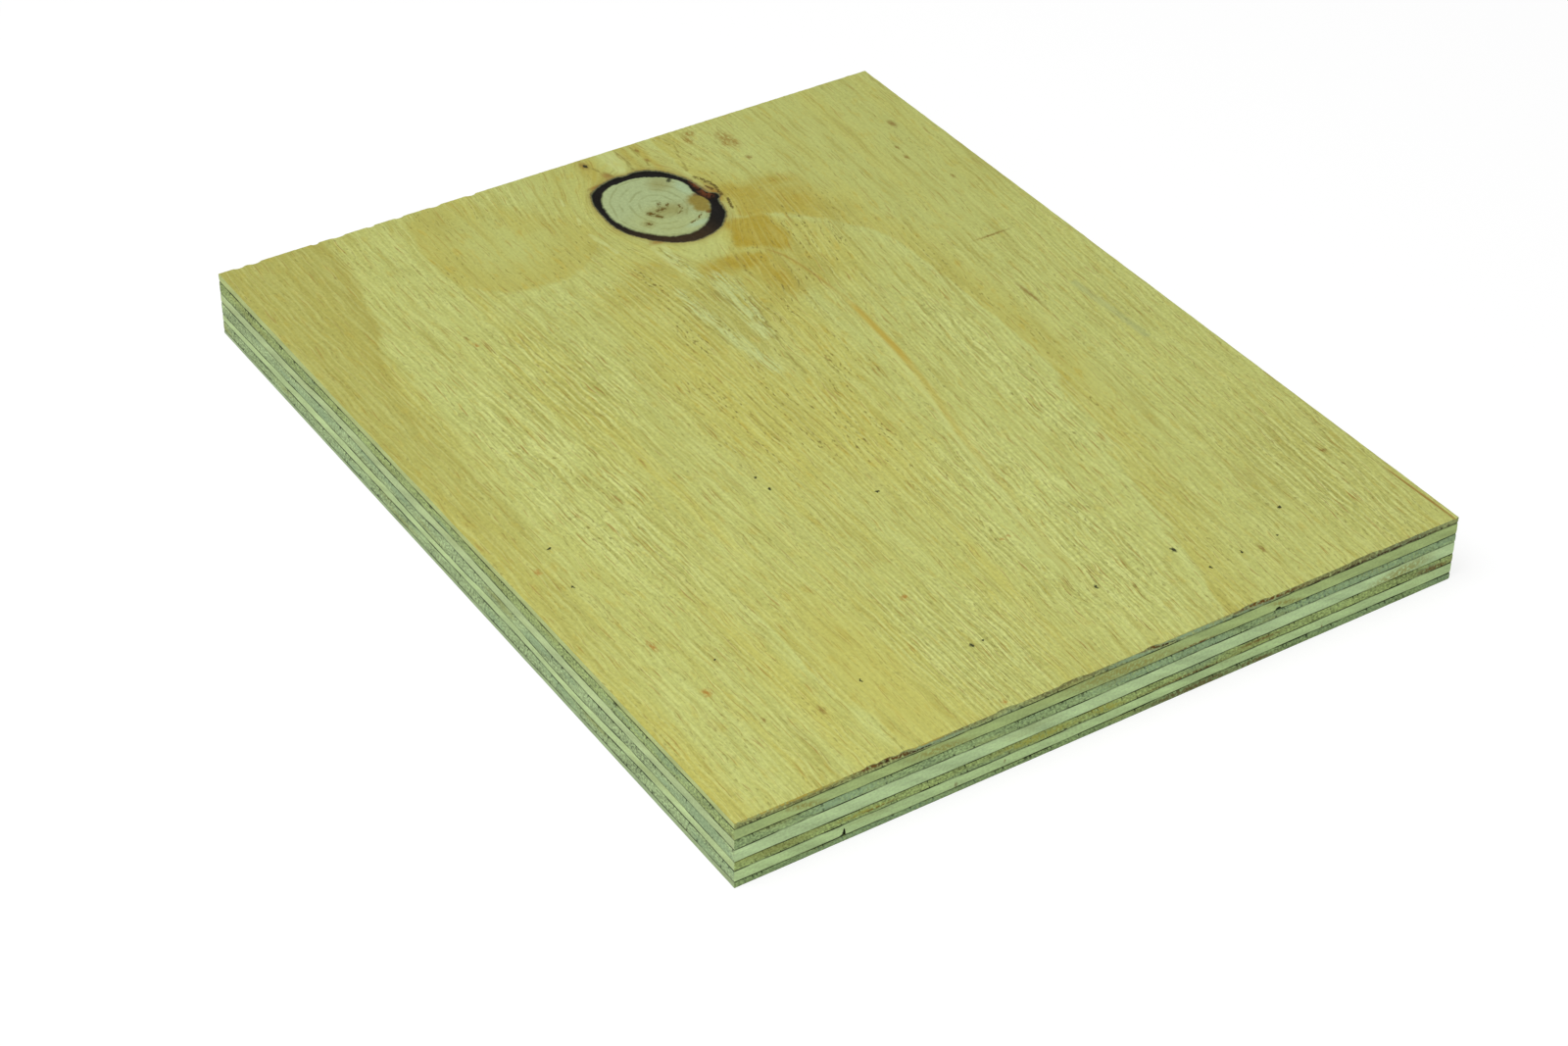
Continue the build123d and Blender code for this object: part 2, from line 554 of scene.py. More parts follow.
def any_of(marks):
    """The strongest of several masks."""
    strongest = marks[0]
    for mark in marks[1:]:
        strongest = maths("MAXIMUM", strongest, mark)
    return strongest


def any_spot(place, spots, softness):
    """1 inside any of several ovals, each given as (x, y, half width, half length)."""
    return any_of([spot(place, (x, y), (wide, long), softness) for x, y, wide, long in spots])


def area(x, y, middle, outline, softness):
    """1 inside an outline of (degrees round a middle, mm from it), fading to 0 across its rim."""
    reach, angle = round_middle(x, y, middle)
    return ramp(reach - drawn_curve(angle, outline), softness, -softness)


def outlined(x, y, points, softness):
    """1 inside a closed outline of points, fading to 0 across its rim."""
    middle = [sum(values) / len(points) for values in zip(*points)]
    return area(x, y, middle, turned_round(points, middle), softness)


def ragged(x, y, reach, across, along, seed):
    """The place x, y, pushed about by noise so that what is drawn there has a ragged rim."""
    place = joined(x, y)
    push_x = (stretched_noise(place, across, along, seed, 2.0) - 0.5) * reach
    push_y = (stretched_noise(place, across, along, seed + 1, 2.0) - 0.5) * reach
    return x + push_x, y + push_y


def stroke(place, start, end, half_width):
    """1 on the line from one point to another, fading to 0 at its half width."""
    along = (end[0] - start[0], end[1] - start[1], 0.0)
    length = math.hypot(*along)
    direction = [value / length for value in along]
    offset = [-value for value in (*start, 0.0)]
    local = node(place.tree, "ShaderNodeVectorMath", place, offset, operation="ADD").outputs[0]
    share = node(place.tree, "ShaderNodeVectorMath", local, direction, operation="DOT_PRODUCT").outputs[1]
    kept = maths("MINIMUM", maths("MAXIMUM", Field(place.tree, share), 0.0), length)
    foot = node(place.tree, "ShaderNodeVectorMath", direction, operation="SCALE")
    feed(place.tree, foot.inputs["Scale"], kept)
    away = node(place.tree, "ShaderNodeVectorMath", local, foot.outputs[0], operation="DISTANCE")
    return ramp(Field(place.tree, away.outputs[1]), half_width, half_width * STROKE_CORE)


def any_stroke(place, strokes):
    """1 on any of several strokes, each given as (start, end, half width)."""
    return any_of([stroke(place, *one) for one in strokes])


print("zone helpers ready")

# %% Zones drawn
PALE_SPOTS = (
    (-60, 84, 9, 31), (-70, 15, 11, 55), (-86.5, -92, 5, 32), (17, -72, 16, 48), (42, 106, 11, 13),
    (11.5, 66.5, 7, 4.5), (45, -22, 7, 44), (23, 18, 3, 22), (-30, 67, 19, 7), (-18, 116, 10, 6),
)
BRIGHT_SPOTS = ((14.2, 116.5, 3, 7.5), (-58.2, -80, 0.8, 18), (-57, -110, 1.8, 7), (9, -76, 2, 18))
BLEACHED_STROKES = (
    ((-4.5, 52), (-4.0, 34), 3.6), ((-4.5, 38), (-2.0, 12), 3.4), ((7.5, 54), (4.5, 26), 3.8),
    ((10.5, 50), (6.5, 32), 2.2), ((3, 70), (3.5, 57), 2.4),
)
YELLOW_SPOTS = (
    (-65, -92, 3.5, 32), (-47, -98, 8, 32), (-15, 8, 15, 40), (-96, -100, 4, 26), (-10, 60, 11, 14),
    (13, 24, 7, 26), (0, -20, 12, 30), (42, 67, 16, 10), (29, 56, 9, 10), (30, 46, 8, 9),
    (16, 44, 6, 12), (38, 50, 7, 15),
)
OCHRE_SPOTS = (
    (25.5, 106, 2, 6), (-11, 82, 4, 3), (-3, 64, 8, 5), (-12, 58, 8, 7), (1, 40, 9, 16), (50, 64, 6, 8),
    (29, 54, 5.5, 8), (30, 45, 6, 8), (9.5, 36, 2.4, 12), (-41, 114, 5, 8), (16, 44, 4, 10),
)
SMOOTH_SPOTS = (
    (72, 85, 34, 50), (20, 82, 24, 30), (14, 114, 16, 10), (-7, 112, 10, 12), (-47, -98, 8, 28),
    (61, -10, 5, 50), (9.5, -76, 2.5, 22),
)
FURROWED_SPOTS = (
    (-48, 34, 19, 32), (-66, 0, 15, 60), (45, -20, 8, 50), (16, -76, 19, 46),
    (-24, -98, 20, 26), (83, -92, 14, 32),
)
ISLAND = (-27, 96)
ISLAND_OUTLINE = (
    (-180, 23.5), (-150, 24.5), (-117, 24), (-100, 23), (-85, 22.5), (-60, 22), (-35, 21), (0, 20),
    (30, 15), (60, 16), (90, 25), (120, 29), (150, 25), (180, 23.5),
)
ISLAND_RIM = 11
ISLAND_HEART = [(turn, reach - ISLAND_RIM) for turn, reach in ISLAND_OUTLINE]
OPEN_CORNER = (98.0, 76.0)
STAIN_OUTLINES = (
    ((28, 74.5), (33, 74), (34.5, 70), (34, 66), (34.5, 62), (33, 58), (30, 56), (27.5, 57.5), (25, 60),
     (22, 61.5), (19, 63), (20, 66), (21.5, 70), (24.5, 75.5)),
    ((11, 60.5), (14, 61), (18, 60.5), (21, 58.5), (24, 56.5), (23, 54), (20, 53), (16, 53), (13, 54.5),
     (11.5, 57)),
)
STREAK_SPOTS = ((21, 47.5, 3.4, 9), (9, 57, 4, 4))
BAND_OUTLINE = (
    (27.5, 75.5), (29.5, 80), (30, 85), (30.5, 91), (34, 91), (38, 89), (43, 90), (48, 88), (52, 84),
    (52, 78), (50, 71), (47, 64), (44, 62.5), (42, 64.5), (39, 67.5), (36, 70.5), (32, 73),
)
BAND_SPOTS = ((36, 81.5, 9, 6.5), (43.5, 75.5, 5, 6), (33, 87.5, 4, 4), (46, 86, 6, 3), (31, 77, 6, 4))
BAND_EDGE = ((22, 79), (28, 75), (32, 74.4), (36, 72), (39, 69.2), (41.5, 66.6), (43, 65), (47, 60))
STRIPE_SPOTS = ((18.4, 114, 1.6, 9), (6.2, 115, 2.4, 8), (22.6, 114, 1.0, 9))
# Painted shade over the right front corner.
SHADED_CORNER_SPOTS = ((84, -92, 20, 36),)
PALE_SEAM = ((57, 27.5), (59, 24.5), (61, 22), (63, 18.5))
LEFT_BAND_EDGE = (
    (-121, -93), (-87, -91), (-40, -89), (0, -86), (30, -84), (55, -83), (66, -80), (72, -78.5), (78, -75),
    (90, -73), (100, -70), (121, -69),
)
RIGHT_ZONE_EDGE = (
    (-121, 30), (-87, 40), (-60, 45.5), (-54, 49), (-48, 50), (-37, 50.4), (-33, 51), (-29, 53.4),
    (-23, 55.3), (-15, 56), (20, 56.4), (42, 55.8), (57, 50), (66, 43), (70, 40), (75, 28),
)

print(len(PALE_SPOTS + YELLOW_SPOTS + OCHRE_SPOTS), "ovals for the wood and", len(STAIN_OUTLINES), "stains")

# %% How much of each wood there is
ZONE_RAGGEDNESS = 2.0
ZONE_RIMS = (4.0, 7.0, 20)
WOOD_PATCHES = (4.0, 9.0, 26, 2.0)
STAIN_SMEARS = (6.0, 1.8, 28, 2.0)
RIGHT_ZONE_STEP = (-0.4, 0.5)
RIGHT_ZONE_RIM = (-6.0, -0.4)
BESIDE_THE_RIM = (14.0, 2.0)


def left_band(x, y):
    """The band along the left edge, blurred towards the front, and its tone, deepest beside its rim."""
    blur = ramp(y, 65.0, 10.0) * 6.0 + 1.2
    past_rim = x - drawn_curve(y, LEFT_BAND_EDGE)
    band = ramp(past_rim / blur, 1.0, -1.0) * (ramp(y, -110.0, 80.0) * 0.75 + 0.2)
    return band, band * (ramp(past_rim, -6.0, -1.0) * 0.35 + 0.95)


def ring_island(x, y):
    """1 on the island left of the knot, which is open at its far right corner, and 1 in its heart."""
    island = area(x, y, ISLAND, ISLAND_OUTLINE, 0.8) * ramp(x + y, *OPEN_CORNER)
    return island, area(x, y, ISLAND, ISLAND_HEART, 7.0) * island


def resin_stain(x, y, place):
    """How strongly resin has stained the wood in front of the knot and on its right."""
    off_seam = maths("ABSOLUTE", x - drawn_curve(y, PALE_SEAM))
    seam = ramp(off_seam, 1.8, 0.4) * ramp(y, 54.0, 56.0) * ramp(y, 64.0, 62.5)
    smears = stretched_noise(place, *STAIN_SMEARS) * 0.7 + 0.65
    patches = any_of([outlined(x, y, points, 1.4) for points in STAIN_OUTLINES]) * (1.0 - seam * 0.6)
    low_stain = any_of([patches * (smears * 0.3 + 0.55), any_spot(place, STREAK_SPOTS, 0.9) * 0.85])
    above_edge = ramp(y - drawn_curve(x, BAND_EDGE), -0.4, 0.8)
    band = outlined(x, y, BAND_OUTLINE, 3.0) * above_edge * smears
    return any_of([low_stain, band * (any_spot(place, BAND_SPOTS, 0.9) * 0.3 + 0.34)])


def face_zones(x, y):
    """How much of each kind of wood there is at a place on the face, from 0 to 1."""
    x, y = ragged(x, y, ZONE_RAGGEDNESS, *ZONE_RIMS)
    place = joined(x, y)
    beyond_edge = x - drawn_curve(y, RIGHT_ZONE_EDGE)
    right_zone = ramp(beyond_edge, *RIGHT_ZONE_STEP)
    rim = ramp(beyond_edge, *RIGHT_ZONE_RIM) * (1.0 - right_zone)
    near_rim = ramp(beyond_edge, *BESIDE_THE_RIM) * right_zone
    band, band_tone = left_band(x, y)
    island, island_heart = ring_island(x, y)
    island_rim = (island - island_heart) * 0.75
    stain = resin_stain(x, y, place)
    stripes = any_spot(place, STRIPE_SPOTS, 0.9) * 0.5
    smooth = any_of([any_spot(place, SMOOTH_SPOTS, 0.5), island, band * 0.5, stain * 0.8])
    bleached = any_stroke(place, BLEACHED_STROKES)
    furrowed = any_spot(place, FURROWED_SPOTS, 0.5) * (1.0 - band) * (1.0 - smooth * 0.8)
    pale = any_spot(place, PALE_SPOTS, 0.4)
    bright = any_spot(place, BRIGHT_SPOTS, 0.5)
    patchy = stretched_noise(place, *WOOD_PATCHES) * 1.6 + 0.1
    ochre_spots = any_spot(place, OCHRE_SPOTS, 0.6) * patchy * 0.8
    corner_shade = any_spot(place, SHADED_CORNER_SPOTS, 0.6)
    return {
        "pale_zone": any_of([pale, bright * 1.5, rim * 1.8]) * (1.0 - island) + island_heart * 0.3,
        "yellow_zone": any_of([any_spot(place, YELLOW_SPOTS, 0.6), near_rim * 0.8, island_rim]),
        # The ochre zone also carries the painted shade of the right front corner.
        "ochre_zone": any_of([ochre_spots, band_tone, island_rim * 0.5, near_rim * 0.22, corner_shade * 0.25]),
        "stained_zone": any_of([stain, stripes]) * (patchy * 0.3 + 0.8),
        "bleached_zone": bleached,
        "furrowed_zone": any_of([furrowed, bleached, 0.5 - smooth * 0.42]),
    }


print("zones ready")

# %% [markdown]
# ## The face veneer's shape
#
# The top is a fine grid, with rows crowded together where the knot is. It is pulled down along the
# soft grain, in the bark ring and along the worn arrises. The edge of the grid is then extruded down to
# the glue in four steps, and a fan closes the underside, which the glue hides. Along the back edge, and
# here and there along the front, the saw tore small chips out of the veneer. Near the right front corner
# a sliver has come loose.

# %% Relief of the face
BACK_CHIPS = (
    (-92.2, 2.6), (-88.0, 3.4), (-71.1, 2.0), (-64.6, 3.6), (-55.2, 2.2), (-47.1, 2.4), (-36.7, 3.0),
    (-26.0, 2.8),
)
FRONT_CHIPS = (
    (-64.5, 3.0), (-60.5, 4.0), (-55.6, 3.2), (-30.0, 5.0), (-12.0, 7.0), (9.5, 4.0), (38.0, 8.0),
    (70.0, 9.0),
)
CHIP_REACH = 0.5
FRONT_CHIP_SHARE = 0.8
EDGE_BAND = 0.1
SLIVER_X = 96.4
SLIVER_START = -96.0
SLIVER_LEAN = 0.02
SLIVER_FADE = 4.0
SLIVER_DEPTH = 0.3
SLIVER_CRACK = 0.5
WORN_ARRIS = 0.16
WORN_REACH = 0.9
WEAR = (3.0, 3.0, 9, 2.0)
BARK_CRUMBS = (0.9, 0.9, 5, 2.0)


def sliver_crack(x, y):
    """The crack beside the loose sliver, which runs out of the front edge."""
    off_line = maths("ABSOLUTE", x - SLIVER_X + (y - SLIVER_START) * SLIVER_LEAN)
    in_front = 1.0 - ramp(y, SLIVER_START - SLIVER_FADE, SLIVER_START)
    return (1.0 - ramp(off_line, 0.0, SLIVER_CRACK)) * in_front


def inward(x, y):
    """The distance in mm from a place on the panel to its nearest edge."""
    return maths("MINIMUM", WIDTH / 2 - maths("ABSOLUTE", x), LENGTH / 2 - maths("ABSOLUTE", y))


def face_depth(x, y, grain_relief, bark_depth):
    """How far in mm the face lies below the panel's full height."""
    place = joined(x, y)
    bark, within = bark_ring(x, y, 0.5)[:2]
    furrows = ramp(fibre_lines(grain_across(x, y), y), LINE_CREST, LINE_FOOT) * (1.0 - within)
    crumbs = stretched_noise(place, *BARK_CRUMBS)
    worn = (1.0 - ramp(inward(x, y), 0.0, WORN_REACH)) * stretched_noise(place, *WEAR)
    depth = furrows * grain_relief + bark * bark_depth * (crumbs * 0.8 + 0.6) + worn * WORN_ARRIS
    return depth + sliver_crack(x, y) * SLIVER_DEPTH


def chipped(x, level, chips):
    """How far in mm torn chips reach into an edge, in the upper half of the veneer."""
    reach = 0.0
    for place, width in chips:
        off_middle = (x - place) * (2.0 / width)
        reach = maths("MAXIMUM", 1.0 - off_middle * off_middle, reach)
    return maths("SQRT", reach) * ramp(level, 0.3, 0.55) * CHIP_REACH


print(len(BACK_CHIPS), "chips in the back edge and", len(FRONT_CHIPS), "in the front edge")

# %% The tree of the face veneer
SIDE_LEVELS = (0.92, 0.6, 0.3, 0.0)
ROW_CROWDING = ((FRONT, FRONT), (13.0, 66.0), (116.0, 114.0), (BACK, BACK))
WELD_DISTANCE = 1e-6
# Keeps the face just inside its plain slab.
SKIM = 0.002
FACE_INPUTS = PLY_INPUTS | {"Grain Relief": "Float", "Bark Depth": "Float"}


def boundary(tree):
    """True on the edges that only one face uses."""
    count = Field(tree, node(tree, "GeometryNodeInputMeshEdgeNeighbors").outputs[0])
    return maths("COMPARE", count, 1.0, 0.1)


def extruded_edge(tree, geometry):
    """Doubles the open edge of a mesh in place, and says which points are the new ones."""
    extrude = node(tree, "GeometryNodeExtrudeMesh", geometry, boundary(tree), mode="EDGES")
    extrude.inputs["Offset Scale"].default_value = 0.0
    return extrude.outputs["Mesh"], extrude.outputs["Top"]


def face_tree():
    """The tree that makes the face veneer."""
    tree, given = start_tree("face_veneer_sheet", FACE_INPUTS)
    sheet = node(
        tree, "GeometryNodeMeshGrid", given["Width"], given["Length"], given["Columns"], given["Rows"]
    ).outputs[0]
    x, y, z = millimetres(tree, node(tree, "GeometryNodeInputPosition").outputs[0])
    sheet = set_place(tree, sheet, x, drawn_curve(y, ROW_CROWDING), z)
    for zone, share in face_zones(x, y).items():
        sheet = stored(tree, sheet, zone, share)
    sheet = stored(tree, sheet, "ply_level", 1.0)
    for side_level in SIDE_LEVELS:
        sheet, new = extruded_edge(tree, sheet)
        sheet = stored(tree, sheet, "ply_level", side_level, new)
    level = level_in_ply(tree)
    bottom = glue_line(x, y, "upper_crossband")
    top = FACE - SKIM - face_depth(x, y, given["Grain Relief"], given["Bark Depth"])
    thickness = FACE - ply_bottom["face_veneer"]
    # Half the level, because only the lower side of this veneer meets glue.
    drawn = drawn_in(x, y, level * 0.5, thickness, given["Glue Groove"], given["Fuzz"])
    torn_back = chipped(x, level, BACK_CHIPS) * maths("GREATER_THAN", y, BACK - EDGE_BAND)
    at_front = maths("LESS_THAN", y, FRONT + EDGE_BAND)
    torn_front = chipped(x, level, FRONT_CHIPS) * at_front * FRONT_CHIP_SHARE
    edge_x, edge_y = behind_cut(x, y, drawn)
    height = bottom + (top - bottom) * level
    sheet = set_place(tree, sheet, edge_x, edge_y - torn_back + torn_front, height)
    sheet, new = extruded_edge(tree, sheet)
    middle = node(tree, "ShaderNodeCombineXYZ", 0.0, 0.0, ply_bottom["face_veneer"] * MM).outputs[0]
    sheet = node(tree, "GeometryNodeSetPosition", sheet, new, middle).outputs[0]
    sheet = node(tree, "GeometryNodeMergeByDistance", sheet, new, WELD_DISTANCE).outputs[0]
    end_tree(tree, sheet, given["Wood"])
    return tree


# %% Make the face veneer
FACE_GRID = {"Columns": 420, "Rows": 184}
FACE_RELIEF = {"Grain Relief": 0.05, "Bark Depth": 0.3}

values = PLY_SIZES | FACE_GRID | FACE_RELIEF | {"Wood": wood["face_veneer"]}
pieces["face_veneer"] = run_tree("face_veneer_peeled", face_tree(), values)
print("face_veneer", len(pieces["face_veneer"].data.polygons), "faces")

# %% [markdown]
# ## The face's colours
#
# The wood is a pale yellow softwood with a green cast. Its colours are written as they would be read
# off a picture, from 0 to 255, and made linear for Blender. The material starts from even wood, lays
# the zones that are stored on the mesh over it, and lets slow noise along the grain vary the rest.

# %% Zone colours
EVEN_WOOD = (184, 187, 107)
PALE_WOOD = (191, 198, 121)
YELLOW_WOOD = (189, 185, 96)
OCHRE_WOOD = (165, 157, 75)
STAINED_WOOD = (169, 146, 42)
BLEACHED_WOOD = (188, 200, 134)
ZONE_COLOURS = (
    ("yellow_zone", YELLOW_WOOD, 0.75),
    ("pale_zone", PALE_WOOD, 0.55),
    ("ochre_zone", OCHRE_WOOD, 0.6),
    ("stained_zone", STAINED_WOOD, 0.9),
)
SLOW_TONES = (9.0, 150.0, 24, 2.0)
FRONT_GAIN = 0.05


def tone(red, green, blue):
    """A colour from 0 to 255 as Blender's linear colour."""
    shares = [value / 255 for value in (red, green, blue)]
    return [((share + 0.055) / 1.055) ** 2.4 for share in shares] + [1.0]


def lay_over(under, over, share):
    """Lays a written colour, or a socket, over another by a share from 0 to 1."""
    mixed = node(share.tree, "ShaderNodeMix", share, data_type="RGBA")
    for socket, colour in ((mixed.inputs[6], under), (mixed.inputs[7], over)):
        feed(share.tree, socket, tone(*colour) if isinstance(colour, tuple) else colour)
    return mixed.outputs[2]


def layered(colour, *layers):
    """Lays several colours over one, in their order. A layer is (colour, share)."""
    for over, share in layers:
        colour = lay_over(colour, over, share)
    return colour


def shade(colour, factor):
    """Makes a colour lighter or darker by a factor."""
    made = node(factor.tree, "ShaderNodeVectorMath", colour, operation="SCALE")
    feed(factor.tree, made.inputs["Scale"], factor)
    return made.outputs[0]


def stored_on_mesh(tree, name):
    """An attribute that Geometry Nodes left on the mesh."""
    return Field(tree, node(tree, "ShaderNodeAttribute", attribute_name=name).outputs["Fac"])


def zoned_wood(across, y):
    """The face's colour before its streaks, a little lighter towards the front."""
    slow = stretched_noise(joined(across, y), *SLOW_TONES)
    paler = any_of([ramp(slow, 0.5, 0.3) * 0.4, ramp(across, 10.0, 45.0) * 0.32])
    colour = layered(EVEN_WOOD, (YELLOW_WOOD, ramp(slow, 0.5, 0.72) * 0.6), (PALE_WOOD, paler))
    for zone, zone_colour, share in ZONE_COLOURS:
        colour = lay_over(colour, zone_colour, stored_on_mesh(y.tree, zone) * share)
    return shade(colour, ramp(y, 60.0, -70.0) * FRONT_GAIN + 1.0)


print("even wood is", [round(value, 3) for value in tone(*EVEN_WOOD)])

# %% [markdown]
# ## Streaks and pores
#
# The peeling knife lifts the fibres, so the face is covered with pale lines that stand a few hundredths
# of a millimetre proud, with gaps between them. The same height field that shapes the mesh colours the
# lines here and paints shade into the gaps, and a fine noise paints the light and shade of the relief.
# Rows of short dark pores, brown cracks and dabs of resin are noise stretched along the grain, on the
# coordinate that parts round the knot. Smooth zones have fewer of them. The one long streak of resin is
# a curve along the face, with a lifted fibre beside it and a thin crack behind it.

# %% Streaks, pores and drawn lines
PALE_FIBRE = (207, 213, 136)
SHADED_FIBRE = (160, 160, 84)
DARK_PORE = (124, 114, 56)
BROWN_PORE = (150, 112, 50)
RESIN_DAB = (184, 168, 74)
RESIN = (186, 160, 62)
RESIN_STREAK = (
    (-95, 11.1), (-78, 12.8), (-52, 17.6), (-38, 19.5), (-12, 25.3), (3, 27.6), (12, 28.4), (28, 29.4),
    (48, 28.4), (62, 23),
)
RESIN_AMOUNT = ((-95, 0.1), (-60, 0.2), (-35, 0.35), (-8, 0.4), (3, 1), (22, 0.9), (31, 0.2), (62, 0.15))
RESIN_HALF_WIDTH = 1.5
LIFTED_OFFSET = 1.7
LIFTED_WIDTH = (1.1, 0.3)
LIFTED_END = (20.0, 8.0)
LIFTED_FADE = 15.0
CRACK_WIDTH = (0.6, 0.1)
CRACK_START = (28.0, 38.0)
CRACK_FADE = 8.0
FINE_FIBRES = (0.45, 7.0, 31)
LONG_STREAKS = (1.5, 30.0, 32)
PORE_ROWS = (0.9, 26.0, 33)
PORES = (0.42, 1.6, 34)
CRACKS = (0.4, 10.0, 35)
DABS = (1.8, 6.0, 36)
MOTTLE = (0.75, 1.0, 37, 2.0)
TONE_BANDS = (2.2, 36.0, 38, 2.0)


def streaked_wood(place, across, y, furrowed, bleached, pored, colour):
    """Lays streaks, pores and painted shade over a colour, and gives the height of the relief."""
    flow = joined(across, y)
    fibres = fibre_lines(across, y)
    lines = ramp(fibres, LINE_FOOT, LINE_CREST) * (furrowed * 0.9 + 0.1)
    gaps = ramp(fibres, 0.44, 0.2) * furrowed
    fine = stretched_noise(flow, *FINE_FIBRES)
    fine_gap_shade = ramp(fine, 0.46, 0.26) * (furrowed * 0.5 + 0.12)
    bands = stretched_noise(flow, *TONE_BANDS)
    streaks = ramp(stretched_noise(flow, *LONG_STREAKS), 0.56, 0.72) * furrowed
    rows = ramp(stretched_noise(flow, *PORE_ROWS), 0.52, 0.7)
    pores = ramp(stretched_noise(flow, *PORES), 0.54, 0.7) * rows
    cracks = ramp(stretched_noise(flow, *CRACKS), 0.64, 0.76)
    dabs = ramp(stretched_noise(flow, *DABS), 0.58, 0.8)
    mottle = stretched_noise(place, *MOTTLE)
    colour = layered(
        colour,
        (OCHRE_WOOD, ramp(bands, 0.52, 0.76) * 0.45),
        (RESIN_DAB, dabs * (pored * 0.3 + 0.35)),
        (PALE_FIBRE, any_of([lines * 0.7, streaks * 0.6])),
        (BLEACHED_WOOD, ramp(fine, 0.38, 0.58) * bleached * 0.7),
        # Painted shade in the gaps between the raised lines and among the fine fibres.
        (SHADED_FIBRE, any_of([gaps * 0.5, fine_gap_shade])),
        (BROWN_PORE, cracks * (furrowed * 0.3 + 0.35)),
        (DARK_PORE, pores * (furrowed * 0.35 + pored * 0.5 + 0.25)),
    )
    # Painted light and shade of the fine relief.
    painted_relief_light = (mottle - 0.5) * (furrowed * 0.36 + 0.22)
    colour = shade(colour, painted_relief_light - bands * 0.06 + 1.045)
    return colour, lines * 0.6 + mottle * (furrowed * 0.6 + 0.4) + fine * 0.25 - pores * 0.4


def resinous_wood(x, y, colour):
    """Lays the streak of resin over a colour, with a lifted fibre beside it and a crack behind it."""
    beside = x - drawn_curve(y, RESIN_STREAK)
    off_line = maths("ABSOLUTE", beside)
    off_fibre = maths("ABSOLUTE", beside + LIFTED_OFFSET)
    first, last = RESIN_STREAK[0][0], RESIN_STREAK[-1][0]
    lifted = ramp(off_fibre, *LIFTED_WIDTH) * ramp(y, first, first + LIFTED_FADE) * ramp(y, *LIFTED_END)
    crack = ramp(off_line, *CRACK_WIDTH) * ramp(y, *CRACK_START) * ramp(y, last, last - CRACK_FADE)
    resin = ramp(off_line, RESIN_HALF_WIDTH, 0.2) * drawn_curve(y, RESIN_AMOUNT)
    return layered(colour, (PALE_FIBRE, lifted * 0.45), (BROWN_PORE, crack * 0.45), (RESIN, resin * 0.8))


print("streak of resin from", RESIN_STREAK[0], "to", RESIN_STREAK[-1])

# %% [markdown]
# ## Strands by the knot
#
# Close to the knot the fibres come to the surface in single pale strands with dark seams between them.
# Behind it they part, and in front of it they close again in a long V. Each strand or seam is a stroke.
# Beside the strands of the V the dark strokes are painted shade.

# %% Pale strands and dark seams
PALE_STRAND = (200, 208, 136)
SEAM_AND_SHADE_TONE = (138, 128, 62)
STRAND_RAGGEDNESS = 1.6
STRAND_RIMS = (1.4, 5.0, 56)
STRAND_BREAKS = (0.8, 4.0, 58)
PALE_STRANDS = (
    ((15.0, 121.5), (13.4, 111.0), 2.4),
    ((12.4, 121.5), (13.0, 112.0), 1.4),
    ((-9.6, 88.0), (-8.0, 77.0), 0.9),
    ((-8.4, 96.4), (-9.0, 93.6), 0.7),
    ((-7.4, 106.6), (-8.0, 104.0), 0.8),
    ((0.8, 74.0), (1.2, 61.0), 0.9),
    ((3.6, 73.6), (3.2, 66.0), 0.8),
    ((-4.8, 40.0), (-2.4, 14.0), 0.7),
    ((6.8, 52.0), (3.2, 24.0), 0.7),
)
SEAM_AND_SHADE_STROKES = (
    ((7.6, 115.6), (9.6, 110.0), 0.9),
    ((17.3, 121.5), (16.6, 110.0), 0.8),
    ((21.8, 120.0), (21.0, 109.6), 0.6),
    ((31.0, 121.5), (31.8, 114.6), 0.6),
    ((31.8, 114.6), (28.2, 102.0), 0.7),
    ((2.2, 73.0), (2.4, 64.0), 0.6),
    # Painted shade beside the pale strands of the V.
    ((-6.6, 46.0), (-5.8, 26.0), 0.5),
    ((2.2, 56.0), (4.6, 40.0), 0.9),
    ((9.6, 42.0), (4.8, 20.0), 0.6),
    ((5.6, 34.0), (3.0, 6.0), 0.5),
    ((-13.8, 8.0), (-14.2, -12.0), 0.5),
    ((-17.6, -1.0), (-17.7, -14.0), 0.4),
)


def stranded_wood(x, y, colour):
    """Lays the pale strands, and the dark seams and painted shade beside the V, over a colour."""
    place = joined(*ragged(x, y, STRAND_RAGGEDNESS, *STRAND_RIMS))
    broken = ramp(stretched_noise(joined(x, y), *STRAND_BREAKS), 0.3, 0.6)
    return layered(
        colour,
        (PALE_STRAND, any_stroke(place, PALE_STRANDS) * (broken * 0.35 + 0.3)),
        (SEAM_AND_SHADE_TONE, any_stroke(place, SEAM_AND_SHADE_STROKES) * broken * 0.6),
    )


print(len(PALE_STRANDS), "pale strands and", len(SEAM_AND_SHADE_STROKES), "dark seams")

# %% [markdown]
# ## The knot's colours
#
# Branch wood is paler and greyer than the face, with its own rings, a few brown cracks at the pith and a
# stained patch by the bark. The bark is near black, browner below and rusty where it has crumbled on the
# right. The rings follow the branch, so they are a wave of the distance from the knot's middle. A crack
# is a stroke between two points, which the noise on the place makes crooked.

